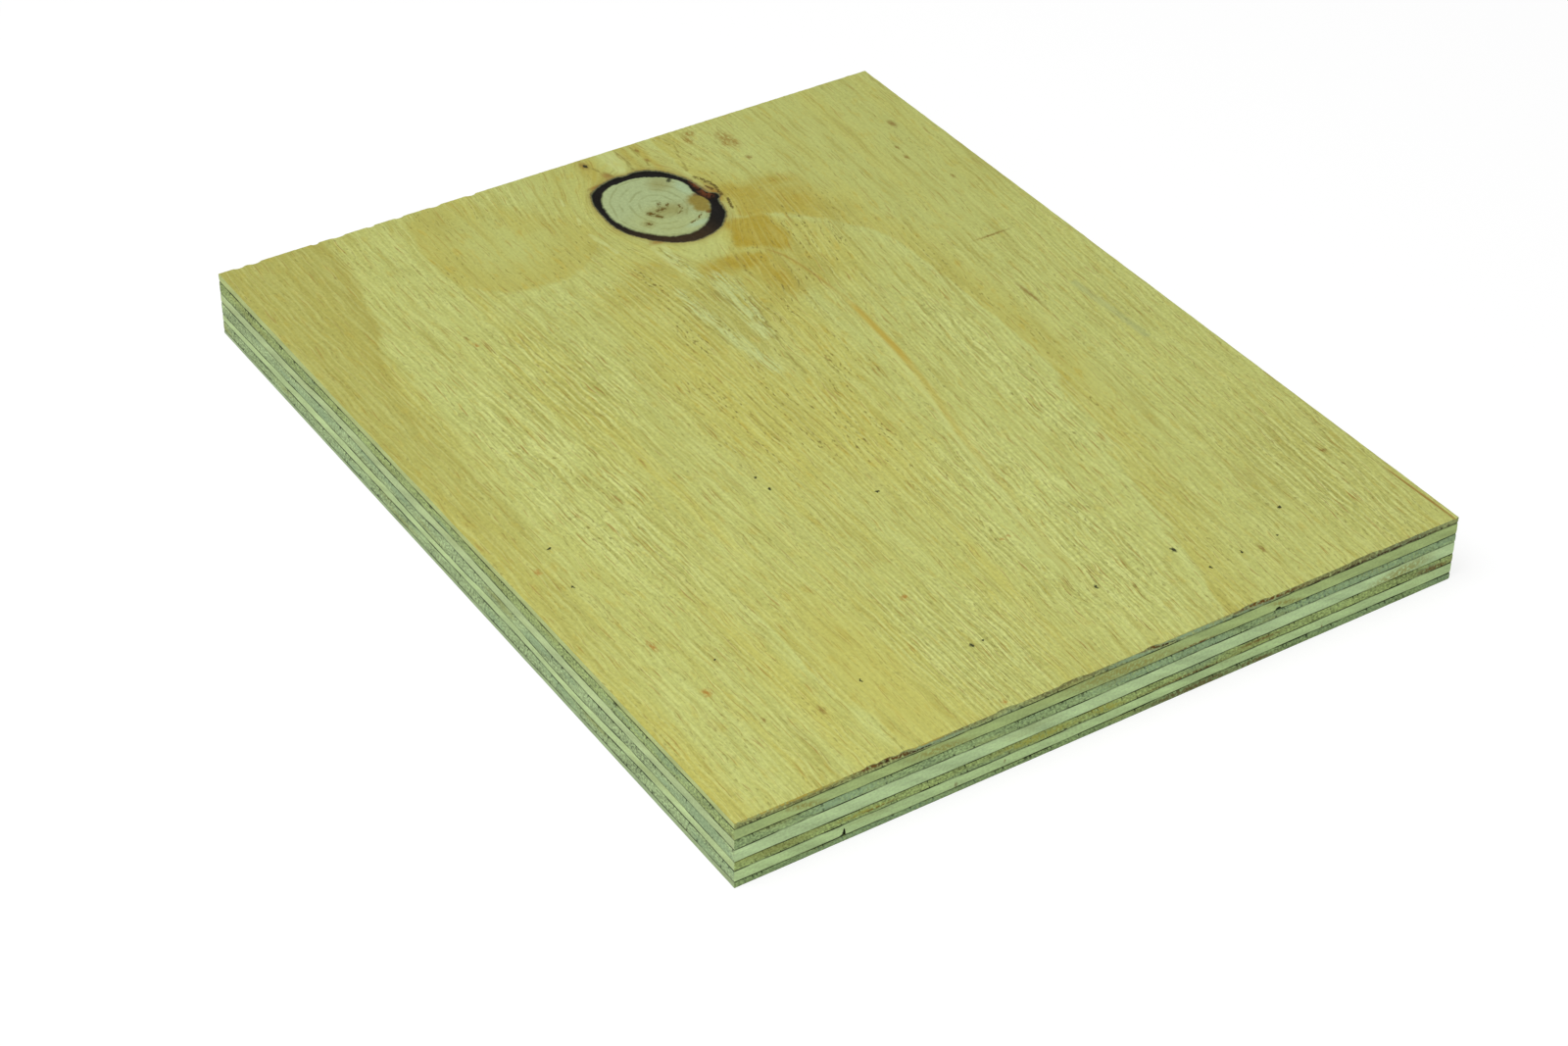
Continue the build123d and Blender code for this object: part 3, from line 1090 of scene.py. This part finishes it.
# %% The branch inside the bark
BRANCH_WOOD = (170, 184, 132)
BRANCH_RING = (138, 146, 94)
PITH_CRACK = (98, 82, 32)
RING_GAP = 2.35
RING_WAVES = (4.0, 4.0, 42)
RING_WAVER = 3.0
PALE_TINT = (174, 179, 106)
BLUISH_TINT = (170, 193, 152)
OLIVE_TINT = (142, 136, 72)
PATCH_TINT = (140, 124, 52)
RUSTY_TINT = (104, 66, 38)
BRANCH_TINTS = (
    (PALE_TINT, 0.35, 0.8, ((8, 84.5, 7, 6), (11.5, 80, 7, 4))),
    (BLUISH_TINT, 0.7, 0.6, ((23.0, 95.2, 1.8, 3.6), (18, 78.2, 4.0, 1.1))),
    (OLIVE_TINT, 0.55, 0.8, ((18.3, 100, 2.8, 3), (11.5, 88, 3.4, 2.6), (5.8, 84.4, 1.5, 1.7))),
    (OLIVE_TINT, 0.55, 0.8, ((15.8, 87, 2.8, 3.2),)),
    (PATCH_TINT, 0.95, 0.4, ((23.0, 87.4, 3.2, 3.4), (22.0, 84.4, 2.4, 2.2), (22.6, 82.2, 1.2, 1.2))),
    (RUSTY_TINT, 0.7, 0.7, ((24.2, 90.5, 1.2, 0.8), (22.3, 81.6, 0.8, 0.6))),
)
PITH_STROKES = (
    ((8.6, 88.7), (9.1, 87.9), 1.4), ((9.9, 86.6), (10.3, 85.6), 1.2), ((11.4, 88.6), (12.8, 88.8), 1.3),
    ((12.5, 90.4), (13.5, 92.0), 0.8), ((14.4, 89.4), (15.1, 90.6), 0.7), ((5.6, 84.6), (6.2, 84.0), 1.0),
    ((17.3, 88.6), (17.0, 86.4), 0.5), ((16.4, 85.5), (15.2, 84.9), 0.5), ((15.6, 79.3), (18.0, 80.0), 0.5),
    ((18.6, 80.4), (20.2, 81.8), 0.5),
)


def branch_wood(x, y, place, blotches):
    """The colour of the branch inside the bark."""
    from_x = x - KNOT[0]
    from_y = (y - KNOT[1]) * (1.0 / KNOT_STRETCH)
    reach = maths("SQRT", from_x * from_x + from_y * from_y)
    slow = stretched_noise(joined(x, y), *RING_WAVES)
    wave = maths("COSINE", reach * (2 * math.pi / RING_GAP) + (slow - 0.5) * RING_WAVER)
    colour = lay_over(BRANCH_WOOD, BRANCH_RING, ramp(wave, 0.4, 1.0) * ramp(slow, 0.3, 0.6) * 0.5)
    for tint, share, softness, spots in BRANCH_TINTS:
        colour = lay_over(colour, tint, any_spot(place, spots, softness) * share)
    return lay_over(colour, PITH_CRACK, any_stroke(place, PITH_STROKES) * ramp(blotches, 0.25, 0.6))


print(len(PITH_STROKES), "cracks at the pith")

# %% The bark and its surroundings
BLACK_BARK = (10, 8, 2)
BROWN_BARK = (56, 43, 24)
RUSTY_BARK = (96, 54, 28)
RUST = (140, 92, 38)
DULL_FRINGE = (140, 118, 56)
BARK_CRACK = (84, 70, 30)
KNOT_RAGGEDNESS = 0.9
KNOT_RIMS = (0.9, 0.9, 40)
BLOTCHES = (0.9, 0.9, 44, 2.0)
BARK_STROKES = (
    ((28.2, 98.2), (29.2, 96.0), 0.9), ((29.2, 96.0), (29.9, 93.6), 1.0), ((30.0, 94.0), (30.4, 91.0), 0.7),
    ((30.4, 91.0), (29.4, 87.0), 0.8), ((28.3, 92.6), (29.0, 90.6), 0.7), ((29.9, 84.5), (28.4, 80.0), 0.6),
)
BARK_WEDGE = ((23.4, 102.2), (21.2, 99.9), 1.0)
RUSTY_SPOTS = ((26.6, 90.2, 1.4, 2.4), (26.4, 95, 0.8, 2.6))
RUSTY_FRINGE = (
    (8.8, 110.6, 1.1, 1.6), (3.6, 107.2, 2.0, 0.7), (28.6, 90.0, 1.2, 3.2), (4.0, 76.0, 2.4, 1.0),
)


def knotted_wood(x, y, colour):
    """Lays the knot over a colour."""
    place = joined(*ragged(x, y, KNOT_RAGGEDNESS, *KNOT_RIMS))
    blotches = stretched_noise(joined(x, y), *BLOTCHES)
    bark, within, outside = bark_ring(x, y, 0.45)
    branch = shade(branch_wood(x, y, place, blotches), blotches * 0.28 + 0.86)
    lower = ramp(y, KNOT[1] + 2.0, KNOT[1] - 18.0) * ramp(x, 24.0, 14.0)
    rusty = any_spot(place, RUSTY_SPOTS, 0.7)
    bark_tone = layered(
        BLACK_BARK,
        (BROWN_BARK, lower * (blotches * 0.8 + 0.4)),
        (RUSTY_BARK, rusty * ramp(blotches, 0.25, 0.55)),
    )
    fringe = any_of([ramp(outside, 2.6, 0.0) * 0.4, ramp(outside, 1.0, 0.0) * 0.75])
    wedge = stroke(joined(x, y), *BARK_WEDGE) * ramp(blotches, 0.2, 0.5) * 0.85
    return layered(
        colour,
        (DULL_FRINGE, fringe),
        (RUSTY_BARK, ramp(outside, 0.7, 0.0) * ramp(blotches, 0.3, 0.6) * 0.8),
        (RUST, any_spot(place, RUSTY_FRINGE, 0.9) * 0.65),
        (BARK_CRACK, any_stroke(place, BARK_STROKES) * ramp(blotches, 0.2, 0.5) * 0.85),
        (branch, within),
        (bark_tone, any_of([bark, wedge])),
    )


print(len(BARK_STROKES), "cracks beside the bark")

# %% [markdown]
# ## Specks
#
# A handled panel picks up marks: black specks of dirt, orange spots of resin, small brown flecks, a few
# brown smears and a grey smudge. They are too few and too particular for noise, so each is a small oval or
# a stroke where it lies. The crack beside the loose sliver is brown too.

# %% Specks
BLACK_SPECK = (40, 44, 26)
ORANGE_SPECK = (168, 114, 42)
BROWN_SPECK = (132, 102, 46)
BROWN_SMEAR = (148, 118, 50)
GREY_SMUDGE = (150, 166, 122)
SPECK_RAGGEDNESS = 1.0
SPECK_RIMS = (0.7, 1.0, 50)
SPECK_CRUMBS = (0.7, 1.4, 52, 2.0)
BLACK_SPECKS = (
    (34.8, -96.5, 0.5, 0.95), (-23.6, -100.2, 0.5, 0.65), (-20.6, -100, 0.25, 0.4),
    (-50.7, -97.2, 0.3, 0.6), (38, -106, 0.35, 0.5), (65.5, -96.6, 0.35, 0.5), (47.4, -105.2, 0.3, 0.5),
    (58.2, -104.7, 0.3, 0.4), (-84.1, -21.5, 0.5, 0.35), (-29.8, -28.8, 0.35, 0.5),
    (-30.3, -23.2, 0.3, 0.45), (-9.4, -42.7, 0.5, 0.3), (11.8, -98.0, 0.3, 0.8), (-73.4, -74.6, 0.3, 0.4),
    (-86.6, -36.3, 0.35, 0.5), (6.4, 117.7, 0.5, 0.9),
)
ORANGE_SPECKS = (
    (-80.8, -83.2, 1.1, 1.1), (-90.5, -27.7, 0.7, 1.0), (-82.5, -63.5, 0.6, 2.0), (-26.5, -78.6, 0.9, 0.9),
    (4.3, -72.8, 0.5, 0.5), (6.3, -72.5, 0.35, 0.6), (-28.8, -119.4, 0.5, 0.7), (-58.5, 59.0, 0.5, 1.0),
)
BROWN_SPECKS = (
    (45.7, 99.2, 0.7, 0.9), (22.0, 112.0, 0.6, 0.9), (22.2, 117.6, 0.4, 0.9), (88, 93.6, 0.8, 1.6),
    (86.3, 62.8, 0.4, 1.0), (82.0, 82.5, 0.4, 1.0), (81.3, 77, 0.4, 1.2), (69.8, 6.0, 0.5, 5.0),
    (78, 33.6, 4.5, 0.35), (6.2, 118.2, 1.0, 1.8), (-59.2, 62.8, 0.4, 1.0), (52, -107, 0.4, 1.6),
    (88.6, -84.7, 0.8, 0.5), (-75.4, -97.2, 0.4, 0.9), (-63.2, -101, 0.5, 1.2),
)
SMEARS = (
    (36.6, 115.2, 1.0, 2.2), (38.4, 117.8, 1.6, 1.2), (45.6, 110.8, 1.9, 3.6), (46.6, 108.2, 1.3, 2.6),
    (44.2, 108.6, 1.0, 1.6),
)
SMUDGE = ((82.6, 4), (83.2, -24), 1.8)


def specked_wood(x, y, colour):
    """Lays the specks over a colour."""
    place = joined(*ragged(x, y, SPECK_RAGGEDNESS, *SPECK_RIMS))
    crumbs = ramp(stretched_noise(joined(x, y), *SPECK_CRUMBS), 0.2, 0.6)
    return layered(
        colour,
        (GREY_SMUDGE, stroke(place, *SMUDGE) * 0.3),
        (BROWN_SMEAR, any_spot(place, SMEARS, 0.8) * crumbs * 0.75),
        (BROWN_SPECK, any_spot(place, BROWN_SPECKS, 0.9) * 0.75),
        (ORANGE_SPECK, any_spot(place, ORANGE_SPECKS, 0.8) * crumbs * 0.75),
        (BLACK_SPECK, any_spot(place, BLACK_SPECKS, 0.4) * 0.95),
        (BROWN_PORE, sliver_crack(x, y) * 0.85),
    )


print(len(BLACK_SPECKS + ORANGE_SPECKS + BROWN_SPECKS), "specks")

# %% [markdown]
# ## Sawn edges
#
# The saw cuts every other ply along its fibres, where it is smooth and pale, and the plies between them
# across the fibres, where the cut ends drink the light and look speckled and darker. Round the corner
# the two change places. So a ply has two tones, and the direction that a face points in says which one
# shows. Slow noise tints the end grain bluish in some places and olive in others. Knife checks open from
# the glue into it, and the glue itself is a thin dark line.

# %% Sawn edges
EDGE_TONES = {
    "back_veneer": ((167, 186, 142), (148, 172, 115)),
    "lower_crossband": ((195, 221, 158), (164, 184, 135)),
    "lower_core": ((193, 214, 155), (162, 182, 112)),
    "centre_crossband": ((197, 223, 165), (166, 185, 135)),
    "upper_core": ((186, 204, 149), (154, 178, 121)),
    "upper_crossband": ((180, 201, 131), (160, 178, 115)),
    "face_veneer": ((187, 200, 132), (168, 180, 114)),
}
GLUE = (36, 42, 20)
KNIFE_CHECK = (36, 40, 24)
POCKET_SHADE = (14, 14, 9)
BLUISH_EDGE = (146, 174, 136)
OLIVE_EDGE = (156, 160, 84)
GLUE_HALF_WIDTH = 0.26
FIRST_EDGE_SEED = 60
SEEDS_PER_EDGE = 6
EDGE_FIBRES = (14.0, 0.4)
EDGE_GROWTH = (8.0, 9.0)
EDGE_SPECKLE = (0.7, 0.55)
EDGE_CHECKS = (0.75, 9.0)
EDGE_UNEVENNESS = (9.0, 9.0)
EDGE_TINTS = (26.0, 5.0)
GROWTH_LEAN = 2.2
CHECK_LEAN = 0.4


def from_glue(tree, ply):
    """The distance in mm from a point of a ply's edge to the nearest glue line."""
    level = stored_on_mesh(tree, "ply_level")
    thickness = ply_top[ply] - ply_bottom[ply]
    if ply == "face_veneer":
        return level * thickness
    if ply == "back_veneer":
        return (1.0 - level) * thickness
    return maths("MINIMUM", level, 1.0 - level) * thickness


def sawn_edge(ply, x, y, z, side):
    """The colour of a ply's sawn edge and its relief. Side is 1 on the left and right edges."""
    seed = FIRST_EDGE_SEED + SEEDS_PER_EDGE * PLIES.index(ply)
    run = x + (y - x) * side
    end_grain = side if "crossband" in ply else 1.0 - side
    place = joined(run, z)
    leaning = joined(run + z * CHECK_LEAN, z)
    fibres = stretched_noise(place, *EDGE_FIBRES, seed, 2.0)
    growth = stretched_noise(joined(run + z * GROWTH_LEAN, z), *EDGE_GROWTH, seed + 1, 2.0)
    speckle = stretched_noise(leaning, *EDGE_SPECKLE, seed + 2, 2.0)
    streaks = fibres * 0.24 + growth * 0.6 + speckle * 0.36 + 0.4
    speckles = speckle * 1.9 + growth * 0.8 - 0.35
    slow = stretched_noise(place, *EDGE_TINTS, seed + 5, 2.0)
    glue_distance = from_glue(x.tree, ply)
    uneven = stretched_noise(place, *EDGE_UNEVENNESS, seed + 4, 2.0)
    checks = ramp(stretched_noise(leaning, *EDGE_CHECKS, seed + 3), 0.6, 0.72) * ramp(uneven, 0.32, 0.52)
    line = ramp(glue_distance, GLUE_HALF_WIDTH, 0.1) * (ramp(uneven, 0.36, 0.62) * 0.65 + 0.35)
    colour = layered(
        shade(lay_over(*EDGE_TONES[ply], end_grain), streaks + (speckles - streaks) * end_grain),
        (BLUISH_EDGE, ramp(slow, 0.48, 0.26) * (end_grain * 0.4 + 0.1)),
        (OLIVE_EDGE, ramp(slow, 0.54, 0.76) * (end_grain * 0.3 + 0.2)),
        (KNIFE_CHECK, checks * ramp(glue_distance, 1.3, 0.2) * end_grain * 0.85),
        (GLUE, line),
    )
    return colour, fibres * 0.25 + speckle * end_grain - line * 0.6


print(len(EDGE_TONES), "edges toned")

# %% [markdown]
# ## Stains on the front edge
#
# Where a growth ring leaves a ply, its edge shows a slanting olive wedge, and where bark or resin was
# near, a rusty streak. Just under the face's torn arris, dark ovals are painted shadow, some of them over
# torn brown fibre. These are soft ovals again, on a place along the edge and a height. A slant leans the
# ovals of one ply over, and a mask keeps them on the front.

# %% Stains on the front edge
OLIVE = (160, 160, 88)
YELLOWED = (172, 172, 78)
TORN_YELLOW = (196, 176, 78)
RUSTY = (114, 80, 34)
TORN_BROWN_AND_SHADOW = (62, 46, 26)
DARK_PATCH_AND_SHADOW = (116, 104, 62)
BLUE_GREY = (152, 182, 144)
STAIN_FLECKS = (0.8, 0.8, 15, 2.0)
FRONT_STRIP = (FRONT + 2.0, FRONT + 1.0)
FRONT_STAINS = {
    "face_veneer": (
        (BLUE_GREY, 0.7, -4.0, (
            (3, 17.0, 7, 0.7), (36, 16.8, 9, 0.4), (22, 17.2, 9, 0.8), (-47, 17.0, 6, 0.5),
        )),
        # Painted shadow of the torn fibres under the arris.
        (DARK_PATCH_AND_SHADOW, 0.6, 0.0, (
            (74, 17.2, 22, 1.3), (-40, 17.7, 10, 0.6), (-14, 17.5, 12, 0.7), (-80, 16.9, 14, 0.4),
        )),
        (TORN_YELLOW, 0.9, 0.0, ((-84, 17.9, 13, 0.6), (-50, 17.9, 5, 0.4), (22, 17.95, 22, 0.2))),
        (RUSTY, 0.9, -5.0, (
            (-63.5, 17.4, 3.0, 0.5), (-57, 17.3, 3.4, 0.7), (11, 17.3, 2.6, 0.5), (43, 17.3, 11, 0.45),
        )),
        # Dark brown torn fibre with painted shadow, in the chips under the arris.
        (TORN_BROWN_AND_SHADOW, 0.9, -3.0, (
            (-60.5, 17.2, 1.6, 0.3), (-53, 16.8, 4, 0.25), (13, 17.0, 2.4, 0.25), (70, 16.6, 24, 0.3),
        )),
    ),
    "upper_crossband": (
        (OLIVE, 0.8, -3.0, (
            (-80.5, 14.8, 3, 1.3), (-47.5, 14.4, 6, 1.2), (2, 14.7, 13, 1.6), (46.5, 14.4, 2.5, 1.2),
        )),
        (RUSTY, 0.8, 0.0, ((22, 13.3, 5, 0.4),)),
    ),
    "upper_core": ((BLUE_GREY, 0.5, 0.0, ((10, 12, 18, 1.2), (70, 12, 26, 1.2), (-70, 12, 10, 1.2))),),
    "centre_crossband": ((OLIVE, 0.7, 2.2, ((82, 8.6, 7, 1.7),)),),
    "lower_core": (
        (YELLOWED, 0.7, -2.0, ((-2, 5.9, 4.5, 1.0), (-20, 5.8, 10, 0.9), (-66, 5.9, 6, 0.5))),
        (RUSTY, 0.7, -2.0, ((42, 6.4, 6, 0.4), (92, 5.6, 5, 0.8), (-63, 5.6, 5, 0.2), (18, 5.2, 12, 0.3))),
    ),
    "lower_crossband": (
        (RUSTY, 0.6, 0.0, ((-42, 2.3, 0.4, 0.6), (-29.2, 3, 0.25, 0.5), (59.3, 2.2, 0.25, 0.6))),
    ),
    "back_veneer": (
        # Darker patches low on the edge.
        (DARK_PATCH_AND_SHADOW, 0.8, 0.0, ((22, 0.9, 12, 0.8), (40, 0.8, 6, 0.6))),
        (BLUE_GREY, 0.4, 0.0, ((-60, 0.8, 24, 0.7),)),
    ),
}


def stained_front(ply, x, y, z, side, colour):
    """Lays a ply's stains and painted shadows over the colour of its front edge."""
    on_front = ramp(y, *FRONT_STRIP) * (1.0 - side)
    middle = (ply_bottom[ply] + ply_top[ply]) / 2
    flecks = ramp(stretched_noise(joined(x, z), *STAIN_FLECKS), 0.25, 0.6) * 1.2
    for stain, share, slant, spots in FRONT_STAINS[ply]:
        place = joined(x - (z - middle) * slant, z)
        found = any_spot(place, spots, 0.7) * flecks * share
        colour = lay_over(colour, stain, maths("MINIMUM", found, 1.0) * on_front)
    return colour


print(sum(len(stains) for stains in FRONT_STAINS.values()), "kinds of stain")

# %% [markdown]
# ## Putting the materials together
#
# All seven plies end in the same kind of shader: dry wood, with a soft sheen and no lacquer. The face
# and the back show their flat side as well as their edge, so they have both patterns and choose between
# them by the direction that a face points in. The bump adds what is finer than the mesh.

# %% The seven materials
RELIEF_MM = 0.12
BUMP_STRENGTH = 0.8
SHEEN_LEVEL = 0.1
DRY_WOOD_ROUGHNESS = 0.66
ROUGHNESS_SPREAD = 0.2
SHEEN_PATCHES = (2.0, 12.0, 8)
FACING = (0.6, 0.8)
POCKET_SHADE_DEPTHS = (0.15, 0.5)
BACK_SHIFT = 400.0
BACK_TONES = (16.0, 160.0, 24)


def finish_wood(tree, colour, height, roughness):
    """Feeds a colour, a bump and a roughness to the material's shader."""
    shader = tree.nodes["Principled BSDF"]
    shader.inputs["Specular IOR Level"].default_value = SHEEN_LEVEL
    feed(tree, shader.inputs["Base Color"], colour)
    feed(tree, shader.inputs["Roughness"], roughness)
    bump = node(tree, "ShaderNodeBump")
    bump.inputs["Strength"].default_value = BUMP_STRENGTH
    bump.inputs["Distance"].default_value = RELIEF_MM * MM
    feed(tree, bump.inputs["Height"], height)
    feed(tree, shader.inputs["Normal"], bump.outputs[0])


def face_looks(x, y):
    """The colour and the relief of the face."""
    across = grain_across(x, y)
    furrowed = stored_on_mesh(x.tree, "furrowed_zone")
    bleached = stored_on_mesh(x.tree, "bleached_zone")
    colour = zoned_wood(across, y)
    pored = stored_on_mesh(x.tree, "yellow_zone") * ramp(y, -60.0, -30.0)
    colour, height = streaked_wood(joined(x, y), across, y, furrowed, bleached, pored, colour)
    colour = stranded_wood(x, y, resinous_wood(x, y, colour))
    colour = knotted_wood(x, y, colour)
    return specked_wood(x, y, colour), height


def back_looks(x, y):
    """The colour and the relief of the underside, which is plainer than the face."""
    across = x + BACK_SHIFT
    place = joined(across, y)
    slow = stretched_noise(place, *BACK_TONES)
    colour = lay_over(EVEN_WOOD, OCHRE_WOOD, ramp(slow, 0.35, 0.7) * 0.6)
    return streaked_wood(place, across, y, slow, 0.0, slow * 0.5, colour)


FLAT_LOOKS = {"face_veneer": face_looks, "back_veneer": back_looks}


def dress_ply(ply):
    """Fills in the material of one ply."""
    wood[ply].use_nodes = True
    tree = wood[ply].node_tree
    x, y, z = millimetres(tree, node(tree, "ShaderNodeTexCoord").outputs["Object"])
    facing = node(tree, "ShaderNodeSeparateXYZ", node(tree, "ShaderNodeNewGeometry").outputs["True Normal"])
    side = ramp(maths("ABSOLUTE", Field(tree, facing.outputs[0])), *FACING)
    flat = ramp(maths("ABSOLUTE", Field(tree, facing.outputs[2])), *FACING)
    colour, height = sawn_edge(ply, x, y, z, side)
    colour = stained_front(ply, x, y, z, side, colour)
    # Painted shade inside the void and the check, darker further in.
    if ply in POCKETS:
        colour = lay_over(colour, POCKET_SHADE, ramp(inward(x, y), *POCKET_SHADE_DEPTHS))
    if ply in FLAT_LOOKS:
        flat_colour, flat_height = FLAT_LOOKS[ply](x, y)
        colour = lay_over(colour, flat_colour, flat)
        height = height + (flat_height - height) * flat
    sheen = stretched_noise(joined(x + z, y + z), *SHEEN_PATCHES)
    finish_wood(tree, colour, height, sheen * ROUGHNESS_SPREAD + DRY_WOOD_ROUGHNESS)
    return len(tree.nodes)


for ply in PLIES:
    print(ply, dress_ply(ply), "nodes")

# %% [markdown]
# ## Floor, world and lamp
#
# A product picture of a panel wants a white ground and soft light, with a little more of it from the
# left than from the front. Nearly half of it is an even white world and one large lamp gives the rest, set
# so that the two together show a colour on the face as it is written. The floor looks whiter to the camera
# than it is, but it keeps the panel's soft shadow.

# %% The world and the lamp
WORLD_LEVEL = 0.42
LAMP_WATTS = 5.0
LAMP_SIZE = 0.5
LAMP_PLACE = Vector((-0.34, -0.09, 0.83))

scene = bpy.context.scene
scene.view_settings.view_transform = "Standard"


def grey(level):
    """A grey from 0 for black to 1 for white."""
    return (level, level, level, 1.0)


def seen_directly(tree):
    """1 for rays from the camera, also by way of a mirror or glass, and 0 for light on a surface."""
    path = node(tree, "ShaderNodeLightPath").outputs
    kinds = ("Is Camera Ray", "Is Glossy Ray", "Is Transmission Ray")
    return any_of([Field(tree, path[kind]) for kind in kinds])


world = bpy.data.worlds.new("studio")
world.use_nodes = True
scene.world = world
background = world.node_tree.nodes["Background"]
background.inputs["Color"].default_value = grey(1.0)
direct = seen_directly(world.node_tree)
feed(world.node_tree, background.inputs["Strength"], direct * (1.0 - WORLD_LEVEL) + WORLD_LEVEL)

lamp_light = bpy.data.lights.new("soft_lamp", "AREA")
lamp_light.energy = LAMP_WATTS
lamp_light.size = LAMP_SIZE
lamp = bpy.data.objects.new("soft_lamp", lamp_light)
scene.collection.objects.link(lamp)
lamp.location = LAMP_PLACE
lamp.rotation_euler = (-LAMP_PLACE).to_track_quat("-Z", "Y").to_euler()
print(f"world {WORLD_LEVEL}, lamp {LAMP_WATTS} W at {LAMP_PLACE.length:.2f} m")

# %% The floor
FLOOR_HALF = 2.5
FLOOR_BOUNCE = 0.9
WHITE_TO_CAMERA = 0.82
SHADOW_SHARE = 0.22

floor_mesh = bpy.data.meshes.new("floor")
signs = ((-1, -1), (1, -1), (1, 1), (-1, 1))
corners = [(sign_x * FLOOR_HALF, sign_y * FLOOR_HALF, 0.0) for sign_x, sign_y in signs]
floor_mesh.from_pydata(corners, [], [(0, 1, 2, 3)])
floor = bpy.data.objects.new("floor", floor_mesh)
scene.collection.objects.link(floor)

floor_paper = bpy.data.materials.new("floor_paper")
floor_paper.use_nodes = True
paper = floor_paper.node_tree
plain_paper = node(paper, "ShaderNodeBsdfDiffuse", grey(FLOOR_BOUNCE))
shaded_paper = node(paper, "ShaderNodeBsdfDiffuse", grey(SHADOW_SHARE))
glow = node(paper, "ShaderNodeEmission", grey(1.0), WHITE_TO_CAMERA)
seen_paper = node(paper, "ShaderNodeAddShader", shaded_paper.outputs[0], glow.outputs[0])
papers = (plain_paper.outputs[0], seen_paper.outputs[0])
either = node(paper, "ShaderNodeMixShader", seen_directly(paper), *papers)
feed(paper, paper.nodes["Material Output"].inputs["Surface"], either.outputs[0])
floor_mesh.materials.append(floor_paper)
print("floor", 2 * FLOOR_HALF, "m across")

# %% [markdown]
# ## Handing the pieces over
#
# Every dressed ply takes the place of its plain slab and rides on the panel's one body. The dressing
# must not make it grow.

for ply, piece in pieces.items():
    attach(piece, "root")
    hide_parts(ply)
